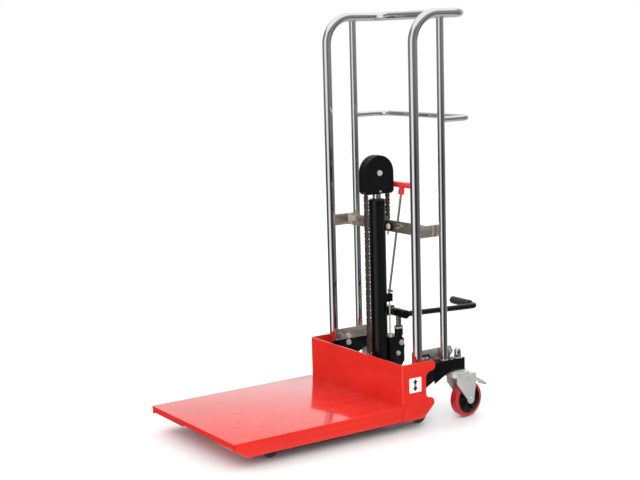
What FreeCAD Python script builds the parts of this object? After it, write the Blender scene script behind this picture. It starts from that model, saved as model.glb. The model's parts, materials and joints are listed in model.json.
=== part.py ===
"""Platform stacker: a hand-pushed lift truck with a foot pump, a chain lift and a sheet platform.

Millimetres. +Z is up, -Y points to the load and +X to the side of the release handle.
While the pieces are drawn, Y = 0 is the front face of the carriage panel and Z = 0 is the floor.
export() then moves everything along Y, so that the origin is the bottom centre of the whole machine.
"""
import FreeCAD, Part
import math
import os

from FreeCAD import Vector

os.makedirs("parts", exist_ok=True)

# ---- overall sizes ----------------------------------------------------------------------------
platform_length = 650.0
platform_width = 556.0
platform_height = 89.0      # top face of the lowered platform
mast_height = 1396.0        # top of the push bow
post_inset = 30.0           # centre of each front post inside the edge of the platform
post_y = 86.0               # front posts behind the panel face
stroke = 530.0              # of the ram; the carriage goes twice as far

# ---- tubes ------------------------------------------------------------------------------------
post_radius = 16.0
post_wall = 2.5
rear_post_radius = 12.5
rear_post_wall = 2.0
rear_post_y = 200.0
rail_radius = 10.0
rail_wall = 2.0
rail_height = 1031.0
rail_y = 332.0
rail_bend = 45.0
bow_y = 321.0               # rear run of the push bow
bow_front_bend = 97.0
bow_corner_bend = 70.0

# ---- sheet and plate --------------------------------------------------------------------------
platform_sheet = 2.5
side_lip = 27.0
front_lip = 16.0
panel_sheet = 5.0
panel_top = 230.0
panel_bottom = 36.0
panel_bend = 12.0
fork_width = 125.0
fork_sheet = 4.0
fork_tip_gap = 10.0         # from the fork tip to the front edge of the platform
lip_gap = 0.5
brace_plate = 6.0
brace_height = 40.0
lower_brace_bottom = 214.0
mid_brace_bottom = 638.0
mid_bar_gap = 5.0           # from the barrel to the cross bar behind it
mid_bar_thick = 5.0
anchor_lug_width = 24.0
anchor_lug_height = 26.0
anchor_lug_edge = 9.0       # of the lug behind the centre of the chain
anchor_nut_half = 7.0       # half the room that the nut of the anchor takes
lug_bolt_gap = 8.0          # from the side of the barrel to the middle of the lug bolt
lug_edge = 10.0             # of the barrel lug outside the lug bolt
lug_thick = 9.0
lug_margin = 8.0            # of the barrel lug inside the height of the brace

# ---- base -------------------------------------------------------------------------------------
leg_width = 38.0
leg_wall = 4.0
leg_top = 78.0
leg_bottom = 16.0
beam_depth = 60.0
beam_bottom = 28.0
beam_wall = 4.0
arm_top = 213.0
arm_block_bottom = 172.0
arm_rear = 278.0
arm_block_front = 148.0
arm_wall = 6.0
arm_width = 32.0
floor_roller_radius = 30.0
floor_roller_width = 27.0
floor_axle_radius = 7.0
front_roller_y = -485.0
base_roller_y = 112.0

# ---- carriage rollers -------------------------------------------------------------------------
guide_radius = 20.0
back_guide_radius = 13.0
guide_width = 20.0
guide_groove = 2.7          # depth of the groove that the post runs in
guide_axle_radius = 5.0
upper_guide_z = 212.0
lower_guide_z = 87.0

# ---- lift cylinder and chain ------------------------------------------------------------------
barrel_radius = 29.0
barrel_bore = 23.0
barrel_top = 730.0
gland_top = 754.0
cylinder_y = 111.0
rod_radius = 14.5
piston_height = 30.0
chain_radius = 46.0         # pitch radius of the chain wheel
chain_half_width = 8.0
chain_half_depth = 6.0
wheel_z = 844.0
chain_leg = 32.0            # straight chain that stays in the cover at each side
tooth_count = 18
cover_margin = 15.0         # of the cover outside the pitch circle
cover_half_width = 20.0
cover_wall = 3.0
cover_bottom = 771.0
yoke_half_width = 14.0
yoke_cheek = 4.0
yoke_half_depth = 14.0
wheel_axle_radius = 6.0
rear_anchor_top = 690.0
front_anchor_top = 215.0
anchor_radius = 4.0

# ---- pump, pedal and release ------------------------------------------------------------------
pump_x = 18.0
lobe_reach = 24.0           # from the pedal pin back to the pump plunger
pump_bore = 9.0
pump_top = 296.0
pedal_hub_gap = 3.0         # from the barrel to the pedal hub
pedal_z = 352.0
pedal_hub_radius = 15.0
pedal_pin_radius = 8.0
pedal_arm_radius = 10.0
pedal_arm_x = 86.0
pedal_end_y = 485.0
pedal_end_drop = 14.0
grip_radius = 14.0
release_inset = 5.0         # of the release rod inside the side of the barrel
release_hub_gap = 3.0       # from the pedal hub to the line of the rod
release_foot_z = 425.0
release_length = 362.0
release_radius = 4.0
handle_gap = 32.0           # from the chain cover to the middle of the handle bar
handle_rise = 14.0          # middle of the handle bar beyond the end of the rod
handle_radius = 9.5
handle_socket_radius = 10.0
handle_socket_depth = 18.0
handle_length = 90.0
handle_turn = 28.0          # degrees of the handle bar from X

# ---- casters ----------------------------------------------------------------------------------
caster_offset = 4.0         # of the caster stem outside the middle of the front post
caster_y = 256.0
caster_radius = 62.5
caster_width = 34.0
caster_trail = 38.0
caster_core_radius = 50.0
caster_axle_radius = 6.0
race_radius = 40.0
race_bottom = 163.5
crown_top = 163.0
crown_bottom = 150.0
fork_gap = 22.0             # half the space between the cheeks of a caster fork
caster_cheek = 4.0
caster_turn = {"right": 5.0, "left": -11.0}

# ---- fits -------------------------------------------------------------------------------------
running = 0.05              # radial clearance of a shaft that turns or slides
rolling = 0.3               # between a roller and what it rolls on
air = 0.3                   # between bodies that pass each other
bolt_clearance = 0.1

# ---- places that follow from the sizes above --------------------------------------------------
half_width = platform_width / 2
half_posts = half_width - post_inset
caster_x = half_posts + caster_offset
mid_bar_y = cylinder_y + barrel_radius + mid_bar_gap
lug_bolt_x = barrel_radius + lug_bolt_gap
pedal_y = cylinder_y + barrel_radius + pedal_hub_gap + pedal_hub_radius
pump_y = pedal_y + lobe_reach
cover_radius = chain_radius + cover_margin
chain_rear_y = cylinder_y + chain_radius
chain_front_y = cylinder_y - chain_radius
release_x = barrel_radius - release_inset
release_foot_y = pedal_y - pedal_hub_radius - release_hub_gap
handle_y = cylinder_y + cover_radius + handle_gap
lean = math.asin((handle_y - release_foot_y) / (release_length + handle_rise))
bow_z = mast_height - post_radius
inner_post_face = half_posts - post_radius
brace_inner = inner_post_face - brace_plate
leg_outer = brace_inner
leg_inner = leg_outer - leg_width
leg_mid = leg_outer - leg_width / 2
fork_outer = half_width - platform_sheet - lip_gap
fork_inner = fork_outer - fork_width
fork_top = platform_height - platform_sheet
origin_y = (pedal_end_y + grip_radius - platform_length) / 2


def v(x, y, z):
    return Vector(x, y, z)


def box(x0, x1, y0, y1, z0, z1):
    return Part.makeBox(x1 - x0, y1 - y0, z1 - z0, v(x0, y0, z0))


def bar(radius, start, end):
    """A round bar from start to end."""
    along = end - start
    return Part.makeCylinder(radius, along.Length, start, along)


def tube(outer, inner, start, end):
    return bar(outer, start, end).cut(bar(inner, start, end))


def plate(outline, x0, x1):
    """A flat plate with an outline of (y, z) points, from x0 to x1."""
    points = [v(x0, y, z) for y, z in outline]
    face = Part.Face(Part.makePolygon(points + [points[0]]))
    return face.extrude(v(x1 - x0, 0, 0))


def join(shapes):
    whole = shapes[0]
    if len(shapes) > 1:
        whole = whole.multiFuse(shapes[1:])
    return whole.removeSplitter()


def hexagon(across, height, base, direction):
    """A hexagon head or nut standing on base."""
    corner = across / math.sqrt(3)
    ring = [v(corner * math.cos(math.radians(60 * i)), corner * math.sin(math.radians(60 * i)), 0)
            for i in range(7)]
    solid = Part.Face(Part.makePolygon(ring)).extrude(v(0, 0, height))
    solid.Placement = FreeCAD.Placement(base, FreeCAD.Rotation(v(0, 0, 1), direction))
    return solid


def mirrored(shape):
    return shape.mirror(v(0, 0, 0), v(1, 0, 0))


def bent_tube(points, bends, outer, inner):
    """A round tube along points, with a bend of the given radius at each inner point."""
    pieces = []
    start = points[0]
    for i in range(1, len(points)):
        ahead = (points[i] - points[i - 1]).normalize()
        last = i == len(points) - 1
        if last:
            pieces.append(tube(outer, inner, start, points[i]))
            break
        after = (points[i + 1] - points[i]).normalize()
        bend = bends[i - 1]
        turn = ahead.getAngle(after)
        cut_back = bend * math.tan(turn / 2)
        arc_start = points[i] - ahead * cut_back
        pieces.append(tube(outer, inner, start, arc_start))
        axis = ahead.cross(after).normalize()
        middle = arc_start + axis.cross(ahead) * bend
        rim = Part.Wire(Part.makeCircle(outer, arc_start, ahead))
        bore = Part.Wire(Part.makeCircle(inner, arc_start, ahead))
        pieces.append(Part.Face([rim, bore]).revolve(middle, axis, math.degrees(turn)))
        start = points[i] + after * cut_back
    return join(pieces)


def export(name, shapes):
    """Writes one node; a list of shapes stays a group of separate solids."""
    if not isinstance(shapes, list):
        shapes = [shapes]
    whole = shapes[0].copy() if len(shapes) == 1 else Part.makeCompound(shapes)
    whole.translate(v(0, -origin_y, 0))
    whole.exportStep("parts/" + name + ".step")


def both_sides(name, shape):
    export(name + "_right", shape)
    export(name + "_left", mirrored(shape))


# ---- tube frame -------------------------------------------------------------------------------
foot_plate = 6.0
foot_z = 46.0


def mast_loop():
    """The front posts and the push bow are one bent tube."""
    points = [v(-half_posts, post_y, foot_z), v(-half_posts, post_y, bow_z),
              v(-half_posts, bow_y, bow_z), v(half_posts, bow_y, bow_z),
              v(half_posts, post_y, bow_z), v(half_posts, post_y, foot_z)]
    bends = [bow_front_bend, bow_corner_bend, bow_corner_bend, bow_front_bend]
    return bent_tube(points, bends, post_radius, post_radius - post_wall)


def rear_post():
    """The post is coped to fit under the bow."""
    post = tube(rear_post_radius, rear_post_radius - rear_post_wall,
                v(half_posts, rear_post_y, arm_top), v(half_posts, rear_post_y, bow_z))
    return post.cut(bar(post_radius, v(half_posts, post_y, bow_z), v(half_posts, bow_y, bow_z)))


def guard_rail():
    points = [v(-half_posts, rear_post_y, rail_height), v(-half_posts, rail_y, rail_height),
              v(half_posts, rail_y, rail_height), v(half_posts, rear_post_y, rail_height)]
    rail = bent_tube(points, [rail_bend, rail_bend], rail_radius, rail_radius - rail_wall)
    for side in (-1, 1):
        rail = rail.cut(bar(rear_post_radius, v(side * half_posts, rear_post_y, rail_height - 30),
                            v(side * half_posts, rear_post_y, rail_height + 30)))
    return rail


# ---- braces -----------------------------------------------------------------------------------
mid_brace_top = mid_brace_bottom + brace_height
mid_bar_rear = mid_bar_y + mid_bar_thick
lug_bolt_radius = 5.0
lug_bolt_z = mid_brace_bottom + brace_height / 2
anchor_lug_bottom = mid_brace_bottom + (brace_height - anchor_lug_height) / 2


def mid_brace():
    """Two side plates with a cross bar, and the lug behind it that holds the end of the chain."""
    pieces = [box(-brace_inner, brace_inner, mid_bar_y, mid_bar_rear, mid_brace_bottom, mid_brace_top)]
    pieces[0] = pieces[0].cut(box(-anchor_nut_half - 2, anchor_nut_half + 2, chain_rear_y - anchor_nut_half,
                                  chain_rear_y + anchor_nut_half, mid_brace_bottom - 1, mid_brace_top + 1))
    for side in (-1, 1):
        xs = sorted((side * brace_inner, side * inner_post_face))
        pieces.append(box(xs[0], xs[1], post_y, rear_post_y, mid_brace_bottom, mid_brace_top))
    pieces.append(box(-anchor_lug_width / 2, anchor_lug_width / 2, mid_bar_rear, chain_rear_y + anchor_lug_edge,
                      anchor_lug_bottom, anchor_lug_bottom + anchor_lug_height))
    brace = join(pieces)
    brace = brace.cut(bar(anchor_radius + bolt_clearance,
                          v(0, chain_rear_y, mid_brace_bottom - 1), v(0, chain_rear_y, mid_brace_top + 1)))
    for side in (-1, 1):
        x = side * lug_bolt_x
        brace = brace.cut(bar(lug_bolt_radius + bolt_clearance, v(x, mid_bar_y - 1, lug_bolt_z),
                              v(x, mid_bar_rear + 1, lug_bolt_z)))
    return brace


brace_bolt_y = 134.0
brace_bolt_z = 224.0
arm_bolt_z = 200.0
brace_bolt_radius = 5.0
splice_thick = 4.0


def brace_bolt_hole(z):
    return bar(brace_bolt_radius + bolt_clearance, v(brace_inner - 1, brace_bolt_y, z),
               v(inner_post_face + splice_thick + 1, brace_bolt_y, z))


def lower_brace():
    """A plate from the front post to a pointed end behind the rear post."""
    top = lower_brace_bottom + brace_height
    outline = [(post_y - 8, lower_brace_bottom), (rear_post_y + 38, lower_brace_bottom),
               (rear_post_y + 52, lower_brace_bottom + 20), (rear_post_y + 42, top), (post_y - 8, top)]
    return plate(outline, brace_inner, inner_post_face).cut(brace_bolt_hole(brace_bolt_z))


def hex_bolt(radius, head_base, end):
    """A hexagon bolt: its head stands on head_base and its shank ends at end."""
    along = (end - head_base).normalize()
    head = hexagon(radius * 3.2, radius * 1.2, head_base, along * -1)
    return join([head, bar(radius, head_base, end)])


def frame_bolts():
    bolts = []
    for side in (-1, 1):
        for z in (brace_bolt_z, arm_bolt_z):
            bolts.append(hex_bolt(brace_bolt_radius, v(side * brace_inner, brace_bolt_y, z),
                                  v(side * (inner_post_face + splice_thick), brace_bolt_y, z)))
        bolts.append(hex_bolt(lug_bolt_radius, v(side * lug_bolt_x, mid_bar_y - lug_thick, lug_bolt_z),
                              v(side * lug_bolt_x, mid_bar_rear + 8, lug_bolt_z)))
    return bolts


# ---- base -------------------------------------------------------------------------------------
stem_radius = 8.0


arm_slope_front = 116.0      # height of the sloping underside where it starts
arm_plate_drop = 11.0        # of the inner plate below that slope
arm_drop_length = 72.0
arm_plate_low = leg_top - 38


def side_arm():
    """Upright side plate, splice to the lower brace, foot of the front post and hollow rear arm."""
    slope_y = post_y + 14
    slope_end = rear_post_y + 8
    slope = (arm_block_bottom - arm_slope_front) / (slope_end - slope_y)
    drop_z = arm_slope_front + slope * arm_drop_length
    outline = [(post_y - 22, arm_plate_low), (slope_y, arm_plate_low), (slope_y, arm_slope_front - arm_plate_drop),
               (slope_y + arm_drop_length, drop_z - arm_plate_drop), (slope_y + arm_drop_length + 8, drop_z + 4),
               (slope_end, arm_block_bottom), (arm_rear, arm_block_bottom), (arm_rear, arm_top),
               (post_y - 22, arm_top)]
    pieces = [plate(outline, brace_inner, inner_post_face)]
    front_z = arm_slope_front + slope * (arm_block_front - slope_y)
    block = plate([(arm_block_front, front_z), (slope_end, arm_block_bottom),
                   (arm_rear, arm_block_bottom), (arm_rear, arm_top), (arm_block_front, arm_top)],
                  inner_post_face, inner_post_face + arm_width)
    hollow = box(inner_post_face, inner_post_face + arm_width - arm_wall,
                 arm_block_front - 1, arm_rear - arm_wall, 100, arm_top - arm_wall)
    hollow = hollow.cut(box(inner_post_face, inner_post_face + arm_width,
                            rear_post_y + 22, arm_rear, 100, arm_block_bottom + arm_wall))
    pieces.append(block.cut(hollow))
    pieces.append(box(inner_post_face, inner_post_face + 30, post_y - 14, post_y + 14,
                      foot_z - foot_plate, foot_z))
    pieces.append(box(inner_post_face, inner_post_face + splice_thick, brace_bolt_y - 14,
                      brace_bolt_y + 13, arm_bolt_z - 14, brace_bolt_z + 14))
    arm = join(pieces)
    for z in (brace_bolt_z, arm_bolt_z):
        arm = arm.cut(brace_bolt_hole(z))
    return arm.cut(bar(stem_radius + bolt_clearance, v(caster_x, caster_y, 160), v(caster_x, caster_y, 220)))


leg_front = front_roller_y - 28
leg_rear = base_roller_y + 20


def leg():
    """An open-bottomed channel that carries the two floor rollers of one side."""
    nose = [(leg_front, leg_bottom + 16), (leg_front + 14, leg_bottom), (leg_rear - 14, leg_bottom),
            (leg_rear, leg_bottom + 16), (leg_rear, leg_top), (leg_front + 8, leg_top),
            (leg_front, leg_top - 8)]
    channel = plate(nose, leg_inner, leg_outer)
    channel = channel.cut(box(leg_inner + leg_wall, leg_outer - leg_wall, leg_front - 1, leg_rear + 1,
                              leg_bottom - 1, leg_top - leg_wall))
    for y in (front_roller_y, base_roller_y):
        channel = channel.cut(bar(floor_axle_radius + bolt_clearance, v(leg_inner - 1, y, floor_roller_radius),
                                  v(leg_outer + 1, y, floor_roller_radius)))
    return channel


def floor_axles():
    axles = []
    for side in (-1, 1):
        for y in (front_roller_y, base_roller_y):
            axles.append(bar(floor_axle_radius, v(side * leg_inner, y, floor_roller_radius),
                             v(side * leg_outer, y, floor_roller_radius)))
    return axles


def floor_roller(side, y):
    """A nylon roller with rounded rims."""
    x = side * leg_mid
    half = floor_roller_width / 2
    roller = tube(floor_roller_radius, floor_axle_radius + running,
                  v(x - half, y, floor_roller_radius), v(x + half, y, floor_roller_radius))
    rims = [e for e in roller.Edges if abs(e.Length - 2 * math.pi * floor_roller_radius) < 0.1
            and len(e.Vertexes) == 1]
    return roller.makeFillet(2.5, rims)


def base_beam():
    y0 = cylinder_y - beam_depth / 2
    y1 = cylinder_y + beam_depth / 2
    beam = box(-leg_inner, leg_inner, y0, y1, beam_bottom, leg_top)
    return beam.cut(box(-leg_inner, leg_inner, y0 + beam_wall, y1 - beam_wall,
                        beam_bottom + beam_wall, leg_top - beam_wall))


# ---- carriage ---------------------------------------------------------------------------------
upper_guide_y = post_y + post_radius + rolling + guide_radius - guide_groove
lower_guide_y = post_y - post_radius - rolling - guide_radius + guide_groove
back_guide_y = post_y + post_radius + rolling + back_guide_radius - guide_groove
ear_radius = 18.0
panel_inner = half_width - panel_sheet
side_plate_y = 97.0


def side_outline():
    """The side plate: an ear for the upper roller, a waist, and a smaller ear below."""
    ear_z = panel_top - ear_radius
    low_y = back_guide_y + 2
    low_z = lower_guide_z - 1
    low_radius = ear_radius - 1
    edges = []

    def run(a, b):
        edges.append(Part.LineSegment(v(0, a[0], a[1]), v(0, b[0], b[1])).toShape())

    def arc(a, mid, b):
        edges.append(Part.Arc(v(0, *a), v(0, *mid), v(0, *b)).toShape())

    ear_bottom = (upper_guide_y, ear_z - ear_radius)
    waist_top = (side_plate_y, ear_z - ear_radius - 20)
    waist_bottom = (side_plate_y, low_z + low_radius + 16)
    low_top = (low_y, low_z + low_radius)
    slant = 0.70710678 * low_radius
    low_end = (low_y + slant, low_z - slant)
    run((0, panel_bottom), (0, panel_top))
    run((0, panel_top), (upper_guide_y, panel_top))
    arc((upper_guide_y, panel_top), (upper_guide_y + ear_radius, ear_z), ear_bottom)
    arc(ear_bottom, (side_plate_y + 7, ear_z - ear_radius - 6), waist_top)
    run(waist_top, waist_bottom)
    arc(waist_bottom, (side_plate_y + 5, low_z + low_radius + 5), low_top)
    arc(low_top, (low_y + low_radius, low_z), low_end)
    run(low_end, (side_plate_y - 10, panel_bottom))
    run((side_plate_y - 10, panel_bottom), (0, panel_bottom))
    return Part.Wire(edges)


chain_bracket_half = 24.0
chain_bracket_gap = 2.0     # from the bracket to the barrel
chain_bracket_rear = cylinder_y - barrel_radius - chain_bracket_gap
chain_bracket_bottom = 178.0
chain_bracket_thick = 8.0


def carriage_panel():
    """Front panel and side plates folded from one sheet, with the chain bracket welded behind."""
    far = side_plate_y + 100
    skin = Part.makeBox(2 * half_width, far, panel_top - panel_bottom, v(-half_width, 0, panel_bottom))
    inner_bend = panel_bend - panel_sheet
    void = Part.makeBox(2 * panel_inner, far, panel_top, v(-panel_inner, panel_sheet, 0))

    def upright_at(solid, y):
        return [e for e in solid.Edges if abs(e.BoundBox.YMax - y) < 0.01 and e.BoundBox.YLength < 0.01
                and e.BoundBox.XLength < 0.01]

    skin = skin.makeFillet(panel_bend, upright_at(skin, 0))
    void = void.makeFillet(inner_bend, upright_at(void, panel_sheet))
    sides = Part.Face(side_outline()).extrude(v(2 * half_width + 2, 0, 0))
    sides.translate(v(-half_width - 1, 0, 0))
    panel = skin.cut(void).common(sides)
    gap = 4.0
    for side in (-1, 1):
        xs = sorted((side * (leg_inner - gap), side * (leg_outer + gap)))
        panel = panel.cut(box(xs[0], xs[1], -1, panel_sheet + 1, 0, leg_top + gap))
        for y, z in guide_places():
            panel = panel.cut(bar(guide_axle_radius + bolt_clearance, v(side * panel_inner, y, z)
                                  - v(side, 0, 0), v(side * half_width, y, z) + v(side, 0, 0)))
    top = chain_bracket_bottom + chain_bracket_thick
    bracket = join([box(-chain_bracket_half, chain_bracket_half, panel_sheet, chain_bracket_rear,
                        chain_bracket_bottom, top),
                    plate([(panel_sheet, top), (chain_bracket_rear - 26, top), (panel_sheet, top + 30)],
                          -chain_bracket_half, -chain_bracket_half + 6),
                    plate([(panel_sheet, top), (chain_bracket_rear - 26, top), (panel_sheet, top + 30)],
                          chain_bracket_half - 6, chain_bracket_half)])
    bracket = bracket.cut(bar(anchor_radius + bolt_clearance, v(0, chain_front_y, chain_bracket_bottom - 1),
                              v(0, chain_front_y, top + 1)))
    return join([panel, bracket])


def guide_places():
    return [(upper_guide_y, upper_guide_z), (lower_guide_y, lower_guide_z), (back_guide_y, lower_guide_z)]


def guide_axles():
    """Pins riveted into the side plates, with a shoulder that keeps each roller off the plate."""
    pins = []
    for side in (-1, 1):
        for y, z in guide_places():
            shoulder = half_posts + guide_width / 2 + air
            pins.append(join([
                bar(guide_axle_radius, v(side * (half_posts - guide_width / 2 - 1), y, z),
                    v(side * half_width, y, z)),
                bar(guide_axle_radius + 3, v(side * shoulder, y, z), v(side * panel_inner, y, z))]))
    return pins


def guide_roller(side, y, z, radius):
    """A roller with a round groove that fits the post."""
    half = guide_width / 2
    flat = 1.0
    reach = half - flat
    centre = radius - guide_groove + post_radius + rolling
    groove_radius = post_radius + rolling
    rim = centre - math.sqrt(groove_radius ** 2 - reach ** 2)
    bore = guide_axle_radius + running
    edges = [Part.LineSegment(v(-half, bore, 0), v(-half, rim, 0)).toShape(),
             Part.LineSegment(v(-half, rim, 0), v(-reach, rim, 0)).toShape(),
             Part.Arc(v(-reach, rim, 0), v(0, centre - groove_radius, 0), v(reach, rim, 0)).toShape(),
             Part.LineSegment(v(reach, rim, 0), v(half, rim, 0)).toShape(),
             Part.LineSegment(v(half, rim, 0), v(half, bore, 0)).toShape(),
             Part.LineSegment(v(half, bore, 0), v(-half, bore, 0)).toShape()]
    roller = Part.Face(Part.Wire(edges)).revolve(v(0, 0, 0), v(1, 0, 0), 360)
    roller.translate(v(side * half_posts, y, z))
    return roller


def fork():
    """An inverted channel with a slanted nose, open below and behind."""
    tip = -platform_length + fork_tip_gap
    outline = [(0, panel_bottom + 1), (tip + 37, panel_bottom + 1), (tip, panel_bottom + 26),
               (tip, fork_top), (0, fork_top)]
    space = [(1, 0), (tip + 37 + fork_sheet + 1, 0), (tip + 37 + fork_sheet + 1, panel_bottom + 1),
             (tip + fork_sheet, panel_bottom + 29), (tip + fork_sheet, fork_top - fork_sheet),
             (1, fork_top - fork_sheet)]
    channel = plate(outline, fork_inner, fork_outer)
    return channel.cut(plate(space, fork_inner + fork_sheet, fork_outer - fork_sheet))


def platform():
    """A tray turned upside down: a flat sheet with a lip at the front and at both sides."""
    front = -platform_length
    tray = box(-half_width, half_width, front, 0, platform_height - side_lip, platform_height)
    tray = tray.cut(box(-half_width + platform_sheet, half_width - platform_sheet, front + platform_sheet, 1,
                        0, fork_top))
    tray = tray.cut(box(-half_width + platform_sheet + 6, half_width - platform_sheet - 6, front - 1,
                        front + platform_sheet + 1, 0, platform_height - front_lip))
    for side in (-1, 1):
        xs = sorted((side * (half_width - 4), side * (half_width + 1)))
        tray = tray.cut(box(xs[0], xs[1], front - 1, front + 4, 0, platform_height - 5))
    return tray


# ---- lift cylinder ----------------------------------------------------------------------------
barrel_foot_half = 45.0
barrel_foot_depth = 28.0
barrel_foot_height = 10.0
barrel_floor = 12.0
pin_block_left = 18.0       # block for the pedal pin, to each side of the barrel axis
pin_block_right = 6.0
pin_block_half = 17.0
release_block_top = release_foot_z - 6
release_block_bottom = release_foot_z - 34


def barrel():
    """The barrel with its foot plate on the base beam and a lug for the bolts of the mid bar."""
    foot_top = leg_top + barrel_foot_height
    outer = bar(barrel_radius, v(0, cylinder_y, foot_top), v(0, cylinder_y, barrel_top))
    foot = box(-barrel_foot_half, barrel_foot_half, cylinder_y - barrel_foot_depth,
               cylinder_y + barrel_foot_depth, leg_top, foot_top)
    lug = box(-lug_bolt_x - lug_edge, lug_bolt_x + lug_edge, mid_bar_y - lug_thick, mid_bar_y,
              mid_brace_bottom + lug_margin, mid_brace_top - lug_margin)
    pivot_block = box(-pin_block_left, pin_block_right, cylinder_y, pedal_y + pedal_hub_radius + 1,
                      pedal_z - pin_block_half, pedal_z + pin_block_half)
    release_block = box(release_x - 14, release_x + 7, cylinder_y, release_foot_y + 9,
                        release_block_bottom, release_block_top)
    solid = join([outer, foot, lug, pivot_block, release_block])
    solid = solid.cut(bar(barrel_bore, v(0, cylinder_y, foot_top + barrel_floor),
                          v(0, cylinder_y, barrel_top + 1)))
    solid = solid.cut(bar(pedal_pin_radius + bolt_clearance, v(-pin_block_left - 1, pedal_y, pedal_z),
                          v(pin_block_right + 1, pedal_y, pedal_z)))
    for side in (-1, 1):
        solid = solid.cut(bar(lug_bolt_radius + bolt_clearance,
                              v(side * lug_bolt_x, mid_bar_y - lug_thick - 1, lug_bolt_z),
                              v(side * lug_bolt_x, mid_bar_y + 1, lug_bolt_z)))
    return solid.cut(release_bar(release_radius + running, -30, 0))


def gland():
    """The head nut that the piston rod slides in, with a rounded shoulder."""
    nut = bar(barrel_radius, v(0, cylinder_y, barrel_top), v(0, cylinder_y, gland_top))
    rim = [e for e in nut.Edges if abs(e.BoundBox.ZMin - gland_top) < 0.01 and e.BoundBox.ZLength < 0.01]
    nut = nut.makeFillet(7, rim)
    return nut.cut(bar(rod_radius + running, v(0, cylinder_y, barrel_top - 1), v(0, cylinder_y, gland_top + 1)))


def piston_rod():
    low = barrel_top - stroke - 60
    rod = bar(rod_radius, v(0, cylinder_y, low), v(0, cylinder_y, cover_bottom))
    piston = bar(barrel_bore - running, v(0, cylinder_y, low), v(0, cylinder_y, low + piston_height))
    return join([rod, piston])


# ---- chain head -------------------------------------------------------------------------------
def yoke():
    """A fork on top of the piston rod that holds the axle of the chain wheel."""
    floor = wheel_z - chain_radius - 5
    body = box(-yoke_half_width, yoke_half_width, cylinder_y - yoke_half_depth, cylinder_y + yoke_half_depth,
               cover_bottom, wheel_z + 14)
    inner = yoke_half_width - yoke_cheek
    body = body.cut(box(-inner, inner, cylinder_y - 20, cylinder_y + 20, floor, wheel_z + 20))
    return body.cut(bar(wheel_axle_radius + bolt_clearance, v(-30, cylinder_y, wheel_z),
                        v(30, cylinder_y, wheel_z)))


def wheel_axle():
    start = v(cover_half_width, cylinder_y, wheel_z)
    bolt = hex_bolt(wheel_axle_radius, start, v(-cover_half_width - 8, cylinder_y, wheel_z))
    nut = hexagon(wheel_axle_radius * 3, 7, v(-cover_half_width, cylinder_y, wheel_z), v(-1, 0, 0))
    return join([bolt, nut])


def chain_wheel():
    """A toothed wheel; its teeth run between the side plates of the chain."""
    tip = chain_radius + 3
    root = chain_radius - 4
    points = []
    for i in range(tooth_count):
        for share, radius in ((0.0, root), (0.3, root), (0.45, tip), (0.85, tip)):
            angle = 2 * math.pi * (i + share) / tooth_count
            points.append(v(-2.5, cylinder_y + radius * math.cos(angle), wheel_z + radius * math.sin(angle)))
    disc = Part.Face(Part.makePolygon(points + [points[0]])).extrude(v(5, 0, 0))
    inner = yoke_half_width - yoke_cheek - air
    hub = bar(18, v(-inner, cylinder_y, wheel_z), v(inner, cylinder_y, wheel_z))
    wheel = join([disc, hub])
    return wheel.cut(bar(wheel_axle_radius + running, v(-30, cylinder_y, wheel_z), v(30, cylinder_y, wheel_z)))


def chain_wrap():
    """The chain over the wheel and a short way down at each side, hollow where the teeth run."""
    outer = chain_radius + chain_half_depth
    inner = chain_radius - chain_half_depth
    slot = chain_radius + 3.5

    def arch(big, small, half):
        low = wheel_z - chain_leg
        over = tube(big, small, v(-half, cylinder_y, wheel_z), v(half, cylinder_y, wheel_z))
        over = over.cut(box(-30, 30, cylinder_y - 100, cylinder_y + 100, wheel_z - 100, wheel_z))
        sides = [box(-half, half, cylinder_y - big, cylinder_y - small, low, wheel_z),
                 box(-half, half, cylinder_y + small, cylinder_y + big, low, wheel_z)]
        return join([over] + sides)

    return arch(outer, inner, chain_half_width).cut(arch(slot, inner - 1, 3.5))


def strand(y, z0, z1):
    return box(-chain_half_width, chain_half_width, y - chain_half_depth, y + chain_half_depth, z0, z1)


def cover_outline(inset):
    """A half circle over straight sides, with rounded lower corners."""
    r = cover_radius - inset
    low = cover_bottom + inset
    corner = 14.0 - inset
    y0 = cylinder_y - r
    y1 = cylinder_y + r
    c = corner * (1 - math.sqrt(0.5))
    edges = [Part.Arc(v(0, y0, wheel_z), v(0, cylinder_y, wheel_z + r), v(0, y1, wheel_z)).toShape(),
             Part.LineSegment(v(0, y1, wheel_z), v(0, y1, low + corner)).toShape(),
             Part.Arc(v(0, y1, low + corner), v(0, y1 - c, low + c), v(0, y1 - corner, low)).toShape(),
             Part.LineSegment(v(0, y1 - corner, low), v(0, y0 + corner, low)).toShape(),
             Part.Arc(v(0, y0 + corner, low), v(0, y0 + c, low + c), v(0, y0, low + corner)).toShape(),
             Part.LineSegment(v(0, y0, low + corner), v(0, y0, wheel_z)).toShape()]
    return Part.Face(Part.Wire(edges))


def cover_shell():
    """One half of the chain cover, open on the middle plane and slotted below for the chain."""
    shell = cover_outline(0).extrude(v(cover_half_width, 0, 0))
    rim = [e for e in shell.Edges if abs(e.BoundBox.XMin - cover_half_width) < 0.01]
    shell = shell.makeFillet(3, rim)
    shell = shell.cut(cover_outline(cover_wall).extrude(v(cover_half_width - cover_wall, 0, 0)))
    gap = 2.0
    for y in (chain_front_y, chain_rear_y):
        shell = shell.cut(box(-1, chain_half_width + gap, y - chain_half_depth - gap,
                              y + chain_half_depth + gap, cover_bottom - 1, cover_bottom + 20))
    shell = shell.cut(box(-1, yoke_half_width, cylinder_y - yoke_half_depth, cylinder_y + yoke_half_depth,
                          cover_bottom - 1, cover_bottom + cover_wall + 1))
    return shell.cut(bar(wheel_axle_radius + bolt_clearance, v(-1, cylinder_y, wheel_z),
                         v(30, cylinder_y, wheel_z)))


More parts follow.
